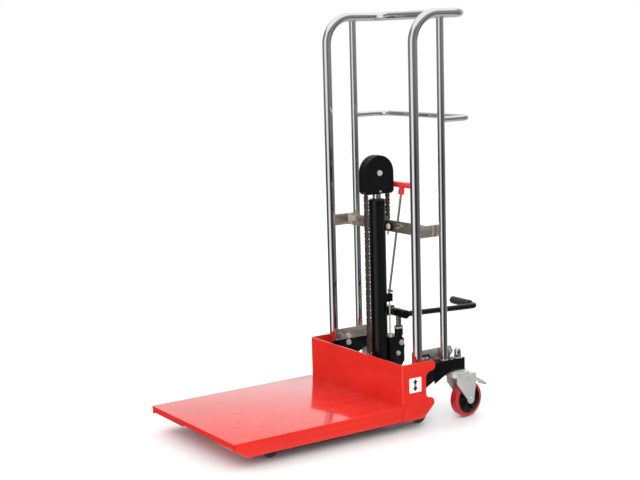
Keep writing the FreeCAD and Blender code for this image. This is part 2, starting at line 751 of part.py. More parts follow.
def chain_anchor(y, top, bracket_bottom, end):
    """An eye bolt for the last link of the chain, with its nut under the bracket."""
    shank = bar(anchor_radius, v(0, y, end), v(0, y, top - 14))
    eye = box(-3, 3, y - 5, y + 5, top - 15, top)
    nut = hexagon(anchor_radius * 3.4, 7, v(0, y, bracket_bottom), v(0, 0, -1))
    return join([shank, eye, nut])


# ---- pump and pedal ---------------------------------------------------------------------------
pump_block_top = 262.0
pump_block_bottom = 150.0
pump_block_left = 30.0      # of the block to each side of the barrel axis
pump_block_right = 30.0
pump_block_behind = 15.0    # behind the plunger
pump_radius = 15.0
cap_radius = 10.5
stem_radius_pump = 3.0
lobe_radius = 8.0
lobe_half = 8.0
cap_height = 6.0
cap_top = pedal_z - lobe_radius - air


def pump_block():
    """The pump and valve body behind the barrel, with the pump cylinder standing on it."""
    rear = pump_y + pump_block_behind
    front = cylinder_y + 22
    body = plate([(front, pump_block_bottom), (rear - 16, pump_block_bottom), (rear, pump_block_bottom + 20),
                  (rear, pump_block_top - 14), (rear - 12, pump_block_top), (front, pump_block_top)],
                 -pump_block_left, pump_block_right)
    body = body.cut(bar(barrel_radius + bolt_clearance, v(0, cylinder_y, 100), v(0, cylinder_y, 300)))
    pump = bar(pump_radius, v(pump_x, pump_y, pump_block_top), v(pump_x, pump_y, pump_top))
    whole = join([body, pump])
    return whole.cut(bar(pump_bore, v(pump_x, pump_y, pump_block_bottom + 30), v(pump_x, pump_y, pump_top + 1)))


def pump_fittings():
    """Valve plugs and the valve stem, screwed into the block."""
    rear = pump_y + pump_block_behind
    plugs = [hexagon(15, 9, v(-15, rear, 236), v(0, 1, 0)),
             hexagon(13, 7, v(-15, rear, 196), v(0, 1, 0)),
             hexagon(13, 8, v(20, rear, 222), v(0, 1, 0)),
             hexagon(15, 9, v(pump_block_right, pump_y, 238), v(1, 0, 0)),
             hexagon(13, 10, v(pump_block_right, pump_y - 16, 202), v(1, 0, 0))]
    stem_y = pedal_y - pedal_hub_radius - stem_radius_pump - 1
    stem = join([bar(stem_radius_pump, v(release_x, stem_y, pump_block_top),
                     v(release_x, stem_y, release_block_bottom)),
                 hexagon(14, 8, v(release_x, stem_y, pump_block_top), v(0, 0, 1))])
    return plugs + [stem]


def pump_plunger():
    """Plunger rod with its cap under the pedal lobe."""
    rod = bar(pump_bore - running, v(pump_x, pump_y, pump_block_bottom + 60),
              v(pump_x, pump_y, cap_top - cap_height))
    cap = bar(cap_radius, v(pump_x, pump_y, cap_top - cap_height), v(pump_x, pump_y, cap_top))
    return join([rod, cap])


def pump_spring():
    """The space of the return spring between the pump cylinder and the cap."""
    return tube(12.5, 10.0, v(pump_x, pump_y, pump_top + air), v(pump_x, pump_y, cap_top - cap_height - air))


hub_start = 8.0
hub_end = pedal_arm_x + pedal_arm_radius


def pedal_pin():
    return join([bar(pedal_pin_radius, v(-pin_block_left, pedal_y, pedal_z), v(hub_end + 1, pedal_y, pedal_z)),
                 bar(pedal_pin_radius + 4, v(hub_end + 1, pedal_y, pedal_z), v(hub_end + 5, pedal_y, pedal_z))])


def pedal_crank():
    """Hub on the pin, a lobe over the pump, and a round arm that turns in to carry the grip."""
    end_z = pedal_z - pedal_end_drop
    bend = 24.0
    hub = bar(pedal_hub_radius, v(hub_start, pedal_y, pedal_z), v(hub_end, pedal_y, pedal_z))
    lobe = join([bar(lobe_radius, v(pump_x - lobe_half, pump_y, pedal_z), v(pump_x + lobe_half, pump_y, pedal_z)),
                 box(pump_x - lobe_half, pump_x + lobe_half, pedal_y, pump_y,
                     pedal_z - lobe_radius, pedal_z + lobe_radius)])
    points = [v(pedal_arm_x, pedal_y, pedal_z), v(pedal_arm_x, pedal_end_y, end_z),
              v(-48, pedal_end_y, end_z)]
    start = points[0]
    ahead = (points[1] - points[0]).normalize()
    after = (points[2] - points[1]).normalize()
    arc_start = points[1] - ahead * bend
    arc_end = points[1] + after * bend
    axis = ahead.cross(after).normalize()
    middle = arc_start + axis.cross(ahead) * bend
    rim = Part.Face(Part.Wire(Part.makeCircle(pedal_arm_radius, arc_start, ahead)))
    arm = [bar(pedal_arm_radius, start, arc_start), rim.revolve(middle, axis, 90),
           bar(pedal_arm_radius, arc_end, points[2])]
    crank = join([hub, lobe] + arm)
    return crank.cut(bar(pedal_pin_radius + running, v(hub_start - 1, pedal_y, pedal_z),
                         v(hub_end + 1, pedal_y, pedal_z)))


def pedal_grip():
    """A rubber sleeve closed at its end."""
    end_z = pedal_z - pedal_end_drop
    sleeve = bar(grip_radius, v(50, pedal_end_y, end_z), v(-54, pedal_end_y, end_z))
    return sleeve.cut(bar(pedal_arm_radius, v(51, pedal_end_y, end_z), v(-48, pedal_end_y, end_z)))


# ---- release ----------------------------------------------------------------------------------
release_way = v(0, math.sin(lean), math.cos(lean))
release_foot = v(release_x, release_foot_y, release_foot_z)


def release_bar(radius, start, end):
    """A round bar on the axis of the release rod, from start to end along it."""
    return bar(radius, release_foot + release_way * start, release_foot + release_way * end)


def release_rod():
    rod = release_bar(release_radius, -20, release_length)
    collar = release_bar(release_radius + 3, 0, 8)
    pin = bar(2.5, release_foot + release_way * 4 + v(-3, 0, 0), release_foot + release_way * 4 + v(15, 0, 0))
    return join([rod, collar, pin])


def release_handle():
    """A T-handle: a round bar across a short socket."""
    turn = math.radians(handle_turn)
    across = v(math.cos(turn), math.sin(turn), 0)
    across = (across - release_way * across.dot(release_way)).normalize()
    middle = release_foot + release_way * (release_length + handle_rise)
    grip = bar(handle_radius, middle - across * (handle_length / 2), middle + across * (handle_length / 2))
    rims = [e for e in grip.Edges if e.Closed and abs(e.Length - 2 * math.pi * handle_radius) < 0.1]
    grip = grip.makeFillet(4, rims)
    socket = release_bar(handle_socket_radius, release_length - handle_socket_depth,
                         release_length + handle_rise - 2)
    whole = join([grip, socket])
    return whole.cut(release_bar(release_radius, release_length - handle_socket_depth - 2, release_length))


# ---- casters ----------------------------------------------------------------------------------
nut_base = arm_top
nut_radius = 14.0


def caster_mounts():
    """Fixed part of each caster: upper race, stem through the arm, and a domed nut on top."""
    mounts = []
    for side in (-1, 1):
        x = side * caster_x
        race = bar(race_radius, v(x, caster_y, race_bottom), v(x, caster_y, arm_block_bottom))
        stem = bar(stem_radius, v(x, caster_y, arm_block_bottom), v(x, caster_y, nut_base + 12))
        nut = join([bar(nut_radius, v(x, caster_y, nut_base), v(x, caster_y, nut_base + 23)),
                    Part.makeSphere(nut_radius, v(x, caster_y, nut_base + 23))])
        mounts.append(join([race, stem, nut]))
    return mounts


def caster_place(shape, side):
    """Moves a piece drawn about the stem axis, trailing along +Y, to one side of the machine."""
    moved = shape.copy()
    moved.rotate(v(0, 0, 0), v(0, 0, 1), caster_turn[side])
    sign = 1 if side == "right" else -1
    moved.translate(v(sign * caster_x, caster_y, 0))
    return moved


brake_pivot_y = 58.0
brake_pivot_z = 136.0
brake_tip_y = 121.0


def caster_fork():
    """Crown with two cheeks and the wheel axle."""
    outer = fork_gap + caster_cheek
    crown = join([bar(race_radius + 2, v(0, 0, crown_bottom), v(0, 0, crown_top)),
                  box(-outer, outer, -28, 62, crown_bottom - 5, crown_bottom + caster_cheek)])
    cheeks = []
    for x0 in (-outer, fork_gap):
        cheek = plate([(-28, crown_bottom), (-28, crown_bottom - 22), (caster_trail - 15, caster_radius),
                       (caster_trail + 15, caster_radius), (64, 128), (62, crown_bottom)], x0, x0 + caster_cheek)
        cheeks.append(cheek.fuse(bar(15, v(x0, caster_trail, caster_radius), v(x0 + caster_cheek, caster_trail,
                                                                              caster_radius))))
    axle = bar(caster_axle_radius, v(-outer - 5, caster_trail, caster_radius),
               v(outer + 5, caster_trail, caster_radius))
    heads = [hexagon(18, 6, v(outer, caster_trail, caster_radius), v(1, 0, 0)),
             hexagon(18, 6, v(-outer, caster_trail, caster_radius), v(-1, 0, 0))]
    whole = join([crown] + cheeks + [axle] + heads)
    return whole.cut(bar(3 + running, v(-40, brake_pivot_y, brake_pivot_z), v(40, brake_pivot_y, brake_pivot_z)))


def caster_tyre():
    half = caster_width / 2
    ring = tube(caster_radius, caster_core_radius, v(-half, caster_trail, caster_radius),
                v(half, caster_trail, caster_radius))
    rims = [e for e in ring.Edges if e.Closed and abs(e.Length - 2 * math.pi * caster_radius) < 0.1
            and e.BoundBox.XLength < 0.01]
    return ring.makeFillet(6, rims)


def caster_core():
    """Wheel centre with a recess at each side and a hub for the axle."""
    half = caster_width / 2
    mid = v(0, caster_trail, caster_radius)
    core = tube(caster_core_radius, caster_axle_radius + running, mid - v(half, 0, 0), mid + v(half, 0, 0))
    for side in (-1, 1):
        core = core.cut(tube(caster_core_radius - 6, 17, mid + v(side * 5, 0, 0), mid + v(side * half, 0, 0)))
    hub = tube(14, caster_axle_radius + running, mid - v(fork_gap - air, 0, 0), mid + v(fork_gap - air, 0, 0))
    return join([core, hub])


def caster_brake():
    """Pedal on a pin between the cheeks, with a shoe above the tyre."""
    half = fork_gap - 2
    outline = [(brake_pivot_y - 5, brake_pivot_z - 4), (brake_pivot_y + 4, brake_pivot_z - 6),
               (brake_tip_y - 5, 104), (brake_tip_y - 3, 98), (brake_tip_y, 99),
               (brake_tip_y - 2, 107), (brake_pivot_y + 6, brake_pivot_z + 4),
               (brake_pivot_y - 5, brake_pivot_z + 4)]
    pedal = plate(outline, -half, half)
    pin = bar(3, v(-fork_gap - caster_cheek, brake_pivot_y, brake_pivot_z),
              v(fork_gap + caster_cheek, brake_pivot_y, brake_pivot_z))
    shoe = plate([(brake_pivot_y + 5, brake_pivot_z - 5), (brake_pivot_y + 6, 123), (brake_pivot_y + 18, 118.5),
                  (brake_pivot_y + 22, brake_pivot_z - 12)], -10, 10)
    return join([pedal, pin, shoe])


# ---- write every node -------------------------------------------------------------------------
export("mast_loop", mast_loop())
both_sides("rear_post", rear_post())
export("guard_rail", guard_rail())
export("mid_brace", mid_brace())
both_sides("lower_brace", lower_brace())
export("frame_bolts", frame_bolts())
both_sides("side_arm", side_arm())
both_sides("leg", leg())
export("floor_axles", floor_axles())
export("base_beam", base_beam())
for side_name, side_sign in (("right", 1), ("left", -1)):
    export("front_roller_" + side_name, floor_roller(side_sign, front_roller_y))
    export("base_roller_" + side_name, floor_roller(side_sign, base_roller_y))
    export("upper_guide_" + side_name, guide_roller(side_sign, upper_guide_y, upper_guide_z, guide_radius))
    export("lower_guide_" + side_name, guide_roller(side_sign, lower_guide_y, lower_guide_z, guide_radius))
    export("back_guide_" + side_name, guide_roller(side_sign, back_guide_y, lower_guide_z, back_guide_radius))
    export("caster_fork_" + side_name, caster_place(caster_fork(), side_name))
    export("caster_tyre_" + side_name, caster_place(caster_tyre(), side_name))
    export("caster_core_" + side_name, caster_place(caster_core(), side_name))
    export("caster_brake_" + side_name, caster_place(caster_brake(), side_name))
export("caster_mounts", caster_mounts())
export("carriage_panel", carriage_panel())
both_sides("fork", fork())
export("platform", platform())
export("guide_axles", guide_axles())
export("cylinder_barrel", barrel())
export("cylinder_gland", gland())
export("piston_rod", piston_rod())
export("chain_yoke", yoke())
export("chain_wheel_axle", wheel_axle())
export("chain_wheel", chain_wheel())
export("chain_wrap", chain_wrap())
both_sides("chain_cover", cover_shell())
export("chain_front_strand", strand(chain_front_y, front_anchor_top, wheel_z - chain_leg))
export("chain_rear_strand", strand(chain_rear_y, rear_anchor_top, wheel_z - chain_leg))
export("chain_anchor_front", chain_anchor(chain_front_y, front_anchor_top, chain_bracket_bottom, 158.0))
export("chain_anchor_rear", chain_anchor(chain_rear_y, rear_anchor_top, anchor_lug_bottom, 622.0))
export("pump_block", pump_block())
export("pump_fittings", pump_fittings())
export("pump_plunger", pump_plunger())
export("pump_spring", pump_spring())
export("pedal_pin", pedal_pin())
export("pedal_crank", pedal_crank())
export("pedal_grip", pedal_grip())
export("release_rod", release_rod())
export("release_handle", release_handle())
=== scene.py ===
"""Looks of the platform stacker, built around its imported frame. Metres, in the frame's own axes."""
import json
import math

import bmesh
import bpy
from mathutils import Matrix, Vector


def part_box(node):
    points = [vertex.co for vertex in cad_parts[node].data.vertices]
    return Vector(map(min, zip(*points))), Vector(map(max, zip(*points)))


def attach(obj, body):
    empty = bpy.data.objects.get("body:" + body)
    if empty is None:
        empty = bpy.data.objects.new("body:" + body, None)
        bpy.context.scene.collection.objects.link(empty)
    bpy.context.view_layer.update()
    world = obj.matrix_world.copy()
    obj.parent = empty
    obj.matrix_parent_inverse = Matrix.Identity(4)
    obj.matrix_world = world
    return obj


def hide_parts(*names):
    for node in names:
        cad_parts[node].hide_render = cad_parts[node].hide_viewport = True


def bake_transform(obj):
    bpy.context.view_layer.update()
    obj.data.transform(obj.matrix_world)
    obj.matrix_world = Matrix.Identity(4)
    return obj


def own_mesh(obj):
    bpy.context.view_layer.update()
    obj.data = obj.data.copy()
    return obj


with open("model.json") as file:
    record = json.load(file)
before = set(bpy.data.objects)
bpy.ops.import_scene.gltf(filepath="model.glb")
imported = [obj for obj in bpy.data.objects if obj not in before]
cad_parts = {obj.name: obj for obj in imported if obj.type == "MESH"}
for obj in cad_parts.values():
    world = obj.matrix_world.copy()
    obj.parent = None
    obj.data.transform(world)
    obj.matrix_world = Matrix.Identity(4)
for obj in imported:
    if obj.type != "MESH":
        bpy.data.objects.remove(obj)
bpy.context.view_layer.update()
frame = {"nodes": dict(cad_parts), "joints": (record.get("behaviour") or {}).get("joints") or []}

bl_info = {
    "name": "Platform Stacker Looks",
    "version": (1, 0, 0),
    "blender": (4, 5, 0),
    "location": "3D View > Sidebar > Stacker",
    "description": "Builds the finished surfaces of a foot-pumped platform stacker",
    "category": "Object",
}

MM = 0.001
SIDES = {"right": 1, "left": -1}
POST_RADIUS = 16 * MM
BARREL_RADIUS = 29 * MM


def joint(name):
    """The frame's joint of that name."""
    return next(j for j in frame["joints"] if j["name"] == name)


# ---------------------------------------------------------------------------------------------
# Properties
# ---------------------------------------------------------------------------------------------
def size(label, default, description):
    return bpy.props.FloatProperty(name=label, description=description, default=default, unit="LENGTH",
                                   min=0)


def colour(label, default, description):
    return bpy.props.FloatVectorProperty(
        name=label, description=description, default=default, subtype="COLOR", size=4, min=0, max=1)


def share(label, default, description):
    return bpy.props.FloatProperty(name=label, description=description, default=default, min=0, max=1)


class StackerColours(bpy.types.PropertyGroup):
    """Colours of the machine's finishes."""
    red: colour("Red paint", (0.76, 0.022, 0.012, 1), "Powder coat of platform, forks and panel")
    black: colour("Black paint", (0.0035, 0.0035, 0.004, 1), "Gloss paint of cylinder, arms and legs")
    chrome: colour("Chrome", (0.83, 0.83, 0.85, 1), "Plated tubes and plates")
    zinc: colour("Zinc", (0.76, 0.75, 0.72, 1), "Plated casters and fasteners")
    steel: colour("Bare steel", (0.45, 0.44, 0.42, 1), "Turned pins and rollers")
    chain: colour("Chain", (0.14, 0.12, 0.095, 1), "Oiled side plates of the chain")
    roller: colour("Chain rollers", (0.46, 0.38, 0.26, 1), "Worn rollers and pin ends of the chain")
    tread: colour("Tread", (0.42, 0.012, 0.012, 1), "Cast polyurethane of the caster wheels")
    handle: colour("Handle red", (0.72, 0.012, 0.010, 1), "Moulded release handle")
    rubber: colour("Rubber", (0.012, 0.012, 0.012, 1), "Pedal grip")
    label: colour("Label", (0.86, 0.86, 0.84, 1), "Printed label on the side plate")
    wear: share("Wear", 0.35, "How much paint is rubbed off along edges")


class StackerSizes(bpy.types.PropertyGroup):
    """Sizes of the details that Blender adds."""
    plate_round: size("Plate edge round", 0.0010, "Rounding of cut plate edges")
    fold_round: size("Fold round", 0.0022, "Rounding of folded sheet edges")
    weld: size("Weld bead", 0.0022, "Radius of weld beads")
    chain_pitch: size("Chain pitch", 0.0127, "Distance between chain pins")
    chain_plate: size("Chain plate height", 0.0116, "Height of a chain side plate")
    rib_pitch: size("Grip rib pitch", 0.0048, "Distance between the ribs of the pedal grip")
    spring_wire: size("Spring wire", 0.0018, "Wire diameter of the pump return spring")
    label_size: size("Label size", 0.050, "Edge length of the side label")


class StackerStudio(bpy.types.PropertyGroup):
    """View and light of the studio."""
    azimuth: bpy.props.FloatProperty(
        name="Azimuth", description="Turn of the view about Z", default=math.radians(56.407),
        unit="ROTATION")
    pitch: bpy.props.FloatProperty(
        name="Pitch", description="How far the view looks down", default=math.radians(8.793),
        unit="ROTATION")
    roll: bpy.props.FloatProperty(
        name="Roll", description="Tilt of the view", default=math.radians(-1.588), unit="ROTATION")
    lens: bpy.props.FloatProperty(
        name="Lens", description="Focal length for a 36 mm wide sensor", default=73.49, unit="CAMERA")
    place: bpy.props.FloatVectorProperty(
        name="Camera place", description="Where the camera stands", default=(3.6359, -2.4695, 1.3097),
        subtype="TRANSLATION", unit="LENGTH")
    floor: colour("Floor", (0.90, 0.90, 0.90, 1), "Pale studio floor")
    light: bpy.props.FloatProperty(
        name="Light", description="Strength of the soft lights", default=1.0, min=0, max=10)


def colours():
    """The colours set in the panel."""
    return bpy.context.scene.stacker_colours


def sizes():
    """The detail sizes set in the panel."""
    return bpy.context.scene.stacker_sizes


# ---------------------------------------------------------------------------------------------
# Shader effects that several finishes share
# ---------------------------------------------------------------------------------------------
class Tree:
    """Short way to add and join shader nodes."""

    def __init__(self, nodes, links):
        self.nodes = nodes
        self.links = links

    def add(self, kind, inputs=None, **settings):
        node = self.nodes.new(kind)
        for key, value in settings.items():
            setattr(node, key, value)
        for key, value in (inputs or {}).items():
            if isinstance(value, bpy.types.NodeSocket):
                self.links.new(value, node.inputs[key])
            else:
                node.inputs[key].default_value = value
        return node

    def mix(self, factor, first, second):
        """Colour mix; factor, first and second are sockets or values."""
        node = self.add("ShaderNodeMix", data_type="RGBA")
        for index, value in ((0, factor), (6, first), (7, second)):
            if isinstance(value, bpy.types.NodeSocket):
                self.links.new(value, node.inputs[index])
            else:
                node.inputs[index].default_value = value
        return node.outputs[2]

    def place(self):
        """Where the shaded point is, in the object's own axes."""
        return self.add("ShaderNodeTexCoord").outputs["Object"]

    def noise(self, vector, scale, detail, roughness=0.5):
        inputs = {"Vector": vector, "Scale": scale, "Detail": detail, "Roughness": roughness}
        return self.add("ShaderNodeTexNoise", inputs).outputs[0]

    def math(self, operation, first, second=0.0, clamp=False):
        node = self.add("ShaderNodeMath", {0: first, 1: second}, operation=operation, use_clamp=clamp)
        return node.outputs[0]

    def remap(self, value, low, high, to_low=0.0, to_high=1.0):
        inputs = {"Value": value, "From Min": low, "From Max": high, "To Min": to_low, "To Max": to_high}
        return self.add("ShaderNodeMapRange", inputs, clamp=True).outputs[0]


def effect(name, inputs, outputs):
    """An empty shader node group with named sockets: returns the group, its tree, and its two ends."""
    group = bpy.data.node_groups.new(name, "ShaderNodeTree")
    for label, default in inputs:
        socket = group.interface.new_socket(name=label, in_out="INPUT", socket_type="NodeSocketFloat")
        socket.default_value = default
    for label, kind in outputs:
        group.interface.new_socket(name=label, in_out="OUTPUT", socket_type=kind)
    tree = Tree(group.nodes, group.links)
    return group, tree, tree.add("NodeGroupInput"), tree.add("NodeGroupOutput")


def build_orange_peel():
    """Fine ripple of sprayed or powder-coated paint, with a slow drift in gloss."""
    group, t, start, end = effect(
        "orange_peel", [("Scale", 400.0), ("Gloss Low", 0.08), ("Gloss High", 0.2)],
        [("Height", "NodeSocketFloat"), ("Roughness", "NodeSocketFloat")])
    place = t.place()
    peel = t.noise(place, start.outputs["Scale"], 2.0)
    drift = t.noise(place, 9.0, 4.0, 0.6)
    gloss = t.remap(drift, 0.35, 0.7, start.outputs["Gloss Low"], start.outputs["Gloss High"])
    t.links.new(peel, end.inputs["Height"])
    t.links.new(gloss, end.inputs["Roughness"])
    return group


def build_edge_wear():
    """A mask that is 1 where a sharp edge is rubbed, broken up by noise."""
    group, t, start, end = effect(
        "edge_wear", [("Radius", 0.0016), ("Amount", 0.35), ("Scale", 160.0)],
        [("Mask", "NodeSocketFloat")])
    place = t.place()
    rounded = t.add("ShaderNodeBevel", {"Radius": start.outputs["Radius"]}, samples=4).outputs[0]
    true = t.add("ShaderNodeNewGeometry").outputs["Normal"]
    agree = t.add("ShaderNodeVectorMath", {0: rounded, 1: true}, operation="DOT_PRODUCT").outputs["Value"]
    edge = t.remap(agree, 0.985, 0.86)
    rub = t.noise(place, start.outputs["Scale"], 6.0, 0.7)
    patch = t.noise(place, 14.0, 3.0)
    broken = t.math("MULTIPLY", t.remap(rub, 0.48, 0.62), t.remap(patch, 0.42, 0.68))
    mask = t.math("MULTIPLY", t.math("MULTIPLY", edge, broken), start.outputs["Amount"], clamp=True)
    t.links.new(mask, end.inputs["Mask"])
    return group


def build_dust():
    """Dust that lies on surfaces that face up, thicker near the floor."""
    group, t, start, end = effect("dust", [("Amount", 0.2)], [("Mask", "NodeSocketFloat")])
    geometry = t.add("ShaderNodeNewGeometry")
    up = t.add("ShaderNodeSeparateXYZ", {0: geometry.outputs["Normal"]}).outputs[2]
    place = t.place()
    low = t.remap(t.add("ShaderNodeSeparateXYZ", {0: place}).outputs[2], 0.5, 0.0)
    cloud = t.noise(place, 22.0, 6.0, 0.65)
    lying = t.math("MULTIPLY", t.remap(up, 0.1, 1.0), t.remap(cloud, 0.4, 0.75))
    mask = t.math("MULTIPLY", t.math("MULTIPLY", lying, t.math("ADD", low, 0.25)), start.outputs["Amount"])
    t.links.new(mask, end.inputs["Mask"])
    return group


def build_plating():
    """Cloudy gloss and hair-fine polishing lines of plated metal."""
    group, t, start, end = effect(
        "plating", [("Line Scale", 900.0), ("Low", 0.04), ("High", 0.12)],
        [("Height", "NodeSocketFloat"), ("Roughness", "NodeSocketFloat"), ("Stain", "NodeSocketFloat")])
    place = t.place()
    long_way = t.add("ShaderNodeMapping", {"Vector": place, "Scale": (1.0, 1.0, 0.03)})
    lines = t.noise(long_way.outputs[0], start.outputs["Line Scale"], 2.0)
    cloud = t.noise(place, 16.0, 5.0, 0.6)
    rough = t.remap(cloud, 0.35, 0.72, start.outputs["Low"], start.outputs["High"])
    stain = t.noise(place, 70.0, 6.0, 0.7)
    t.links.new(lines, end.inputs["Height"])
    t.links.new(rough, end.inputs["Roughness"])
    t.links.new(t.remap(stain, 0.58, 0.74), end.inputs["Stain"])
    return group


def build_grain():
    """Moulded or cast skin: pits and bumps of one scale, with uneven gloss."""
    group, t, start, end = effect(
        "moulded_grain", [("Scale", 600.0), ("Low", 0.35), ("High", 0.6)],
        [("Height", "NodeSocketFloat"), ("Roughness", "NodeSocketFloat"), ("Tone", "NodeSocketFloat")])
    place = t.place()
    pits = t.add("ShaderNodeTexVoronoi", {"Vector": place, "Scale": start.outputs["Scale"]})
    cloud = t.noise(place, 35.0, 5.0)
    rough = t.remap(cloud, 0.3, 0.7, start.outputs["Low"], start.outputs["High"])
    t.links.new(pits.outputs[0], end.inputs["Height"])
    t.links.new(rough, end.inputs["Roughness"])
    t.links.new(cloud, end.inputs["Tone"])
    return group


EFFECT_BUILDERS = {
    "orange_peel": build_orange_peel, "edge_wear": build_edge_wear, "dust": build_dust,
    "plating": build_plating, "moulded_grain": build_grain}


def place_effect(tree, name, **inputs):
    """Puts the shared effect into a material with its own values."""
    group = bpy.data.node_groups.get(name) or EFFECT_BUILDERS[name]()
    node = tree.add("ShaderNodeGroup", node_tree=group)
    for key, value in inputs.items():
        node.inputs[key.replace("_", " ")].default_value = value
    return node.outputs


# ---------------------------------------------------------------------------------------------
# Finishes
# ---------------------------------------------------------------------------------------------
FINISHES = {}


def finish_of(name, build):
    """The material of that name, built once."""
    if name not in FINISHES:
        material = bpy.data.materials.new(name)
        material.use_nodes = True
        tree = Tree(material.node_tree.nodes, material.node_tree.links)
        build(tree, material.node_tree.nodes["Principled BSDF"])
        FINISHES[name] = material
    return FINISHES[name]


def wire(tree, shader, base=None, roughness=None, height=None, depth=0.0, metallic=None):
    """Joins an effect's outputs to the shader; height goes through a bump node of that depth."""
    for socket, value in (("Base Color", base), ("Roughness", roughness), ("Metallic", metallic)):
        if isinstance(value, bpy.types.NodeSocket):
            tree.links.new(value, shader.inputs[socket])
        elif value is not None:
            shader.inputs[socket].default_value = value
    if height is not None:
        bump = tree.add("ShaderNodeBump", {"Height": height, "Distance": depth, "Strength": 1.0})
        tree.links.new(bump.outputs[0], shader.inputs["Normal"])


def paint(name, tint, low, high, coat, peel_depth, wear_scale=1.0, dust=0.02, shine=0.5):
    """Gloss paint over steel, rubbed to bare metal along its edges, with a little dust."""
    def build(t, shader):
        peel = place_effect(t, "orange_peel", Gloss_Low=low, Gloss_High=high)
        worn = place_effect(t, "edge_wear", Amount=colours().wear * wear_scale)["Mask"]
        dusty = place_effect(t, "dust", Amount=dust)["Mask"]
        tone = t.noise(t.place(), 5.0, 3.0)
        darker = [c * 0.86 for c in tint[:3]] + [1]
        painted = t.mix(t.remap(tone, 0.3, 0.7), darker, list(tint))
        dusted = t.mix(dusty, painted, (0.55, 0.52, 0.48, 1))
        base = t.mix(worn, dusted, (0.36, 0.34, 0.32, 1))
        rough = t.math("ADD", peel["Roughness"], t.math("MULTIPLY", dusty, 0.8), clamp=True)
        wire(t, shader, base, rough, peel["Height"], peel_depth, worn)
        shader.inputs["Specular IOR Level"].default_value = shine
        shader.inputs["Coat Weight"].default_value = coat
        shader.inputs["Coat Roughness"].default_value = 0.04
    return finish_of(name, build)


def red_paint():
    return paint("red_powder_coat", colours().red, 0.10, 0.17, 0.6, 0.00003, 0.6, 0.08)


def black_paint():
    return paint("black_gloss_paint", colours().black, 0.10, 0.22, 0.2, 0.00004, shine=0.2)


def cast_paint():
    return paint("black_cast_paint", colours().black, 0.28, 0.45, 0.1, 0.0003, shine=0.25)


def cover_paint():
    return paint("black_satin_cover", colours().black, 0.30, 0.42, 0.1, 0.00005, 0.5, shine=0.25)


def plated(name, tint, low, high, stain_tint, stain, line_depth=0.000004, metal=1.0):
    """Plated metal with clouded gloss and faint stains."""
    def build(t, shader):
        plate = place_effect(t, "plating", Low=low, High=high)
        spots = t.math("MULTIPLY", plate["Stain"], stain)
        base = t.mix(spots, list(tint), list(stain_tint))
        rough = t.math("ADD", plate["Roughness"], t.math("MULTIPLY", spots, 0.4), clamp=True)
        wire(t, shader, base, rough, plate["Height"], line_depth, metal)
    return finish_of(name, build)


def chrome():
    return plated("chrome_plate", colours().chrome, 0.025, 0.07, (0.45, 0.40, 0.36, 1), 0.25)


def dull_chrome():
    return plated("dull_chrome_plate", (0.64, 0.57, 0.50, 1), 0.10, 0.22, (0.5, 0.42, 0.38, 1), 0.5,
                  metal=0.85)


def zinc():
    return plated("zinc_plate", colours().zinc, 0.20, 0.38, (0.74, 0.71, 0.60, 1), 0.6, 0.00001, 0.55)


def turned_steel():
    return plated("turned_steel", colours().steel, 0.18, 0.34, (0.20, 0.14, 0.10, 1), 0.6, 0.00001)


def dark_spring():
    return plated("dark_spring_wire", (0.05, 0.05, 0.055, 1), 0.25, 0.40, (0.20, 0.14, 0.10, 1), 0.5,
                  0.00001)


def roller_bronze():
    return plated("chain_roller_steel", colours().roller, 0.20, 0.36, (0.30, 0.22, 0.12, 1), 0.8, 0.00001,
                  0.6)


def chain_steel():
    return plated("oiled_chain_steel", colours().chain, 0.24, 0.42, (0.42, 0.33, 0.18, 1), 1.0, 0.00001,
                  0.7)


def moulded(name, tint, low, high, grain_scale, grain_depth, coat=0.0, sheen=0.0):
    """Plastic or rubber with a moulded skin."""
    def build(t, shader):
        skin = place_effect(t, "moulded_grain", Scale=grain_scale, Low=low, High=high)
        dusty = place_effect(t, "dust", Amount=0.25)["Mask"]
        lighter = [min(1.0, c * 1.25 + 0.004) for c in tint[:3]] + [1]
        base = t.mix(dusty, t.mix(skin["Tone"], list(tint), lighter), (0.5, 0.47, 0.43, 1))
        wire(t, shader, base, skin["Roughness"], skin["Height"], grain_depth)
        shader.inputs["Coat Weight"].default_value = coat
        shader.inputs["Sheen Weight"].default_value = sheen
    return finish_of(name, build)


def rubber():
    return moulded("grip_rubber", colours().rubber, 0.45, 0.65, 900.0, 0.00006, sheen=0.15)


def tread():
    return moulded("polyurethane_tread", colours().tread, 0.22, 0.40, 300.0, 0.00004, coat=0.2)


def core_plastic():
    return moulded("wheel_core_plastic", colours().black, 0.35, 0.5, 700.0, 0.00005)


def nylon():
    return moulded("roller_nylon", (0.03, 0.03, 0.032, 1), 0.35, 0.5, 500.0, 0.00005)


def handle_plastic():
    return moulded("handle_plastic", colours().handle, 0.16, 0.28, 500.0, 0.00003, coat=0.4)


def label_vinyl():
    return moulded("label_vinyl", colours().label, 0.3, 0.42, 800.0, 0.00001)


def label_ink():
    return moulded("label_ink", (0.02, 0.02, 0.025, 1), 0.3, 0.42, 800.0, 0.00001)


# ---------------------------------------------------------------------------------------------
# Mesh helpers
# ---------------------------------------------------------------------------------------------
SMOOTH_BELOW = math.radians(34)


def piece(name, mesh_or_bm, material, body, replaces=()):
    """Makes the object, gives it its finish, and lets it ride on its body."""
    if isinstance(mesh_or_bm, bmesh.types.BMesh):
        mesh = bpy.data.meshes.new(name)
        bmesh.ops.recalc_face_normals(mesh_or_bm, faces=mesh_or_bm.faces)
        mesh_or_bm.to_mesh(mesh)
        mesh_or_bm.free()
    else:
        mesh = mesh_or_bm
    mesh.shade_smooth()
    mesh.set_sharp_from_angle(angle=SMOOTH_BELOW)
    mesh.materials.clear()
    mesh.materials.append(material)
    obj = bpy.data.objects.new(name, mesh)
    bpy.context.scene.collection.objects.link(obj)
    if body is not None:
        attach(obj, body)
    if replaces:
        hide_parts(*replaces)
    return obj


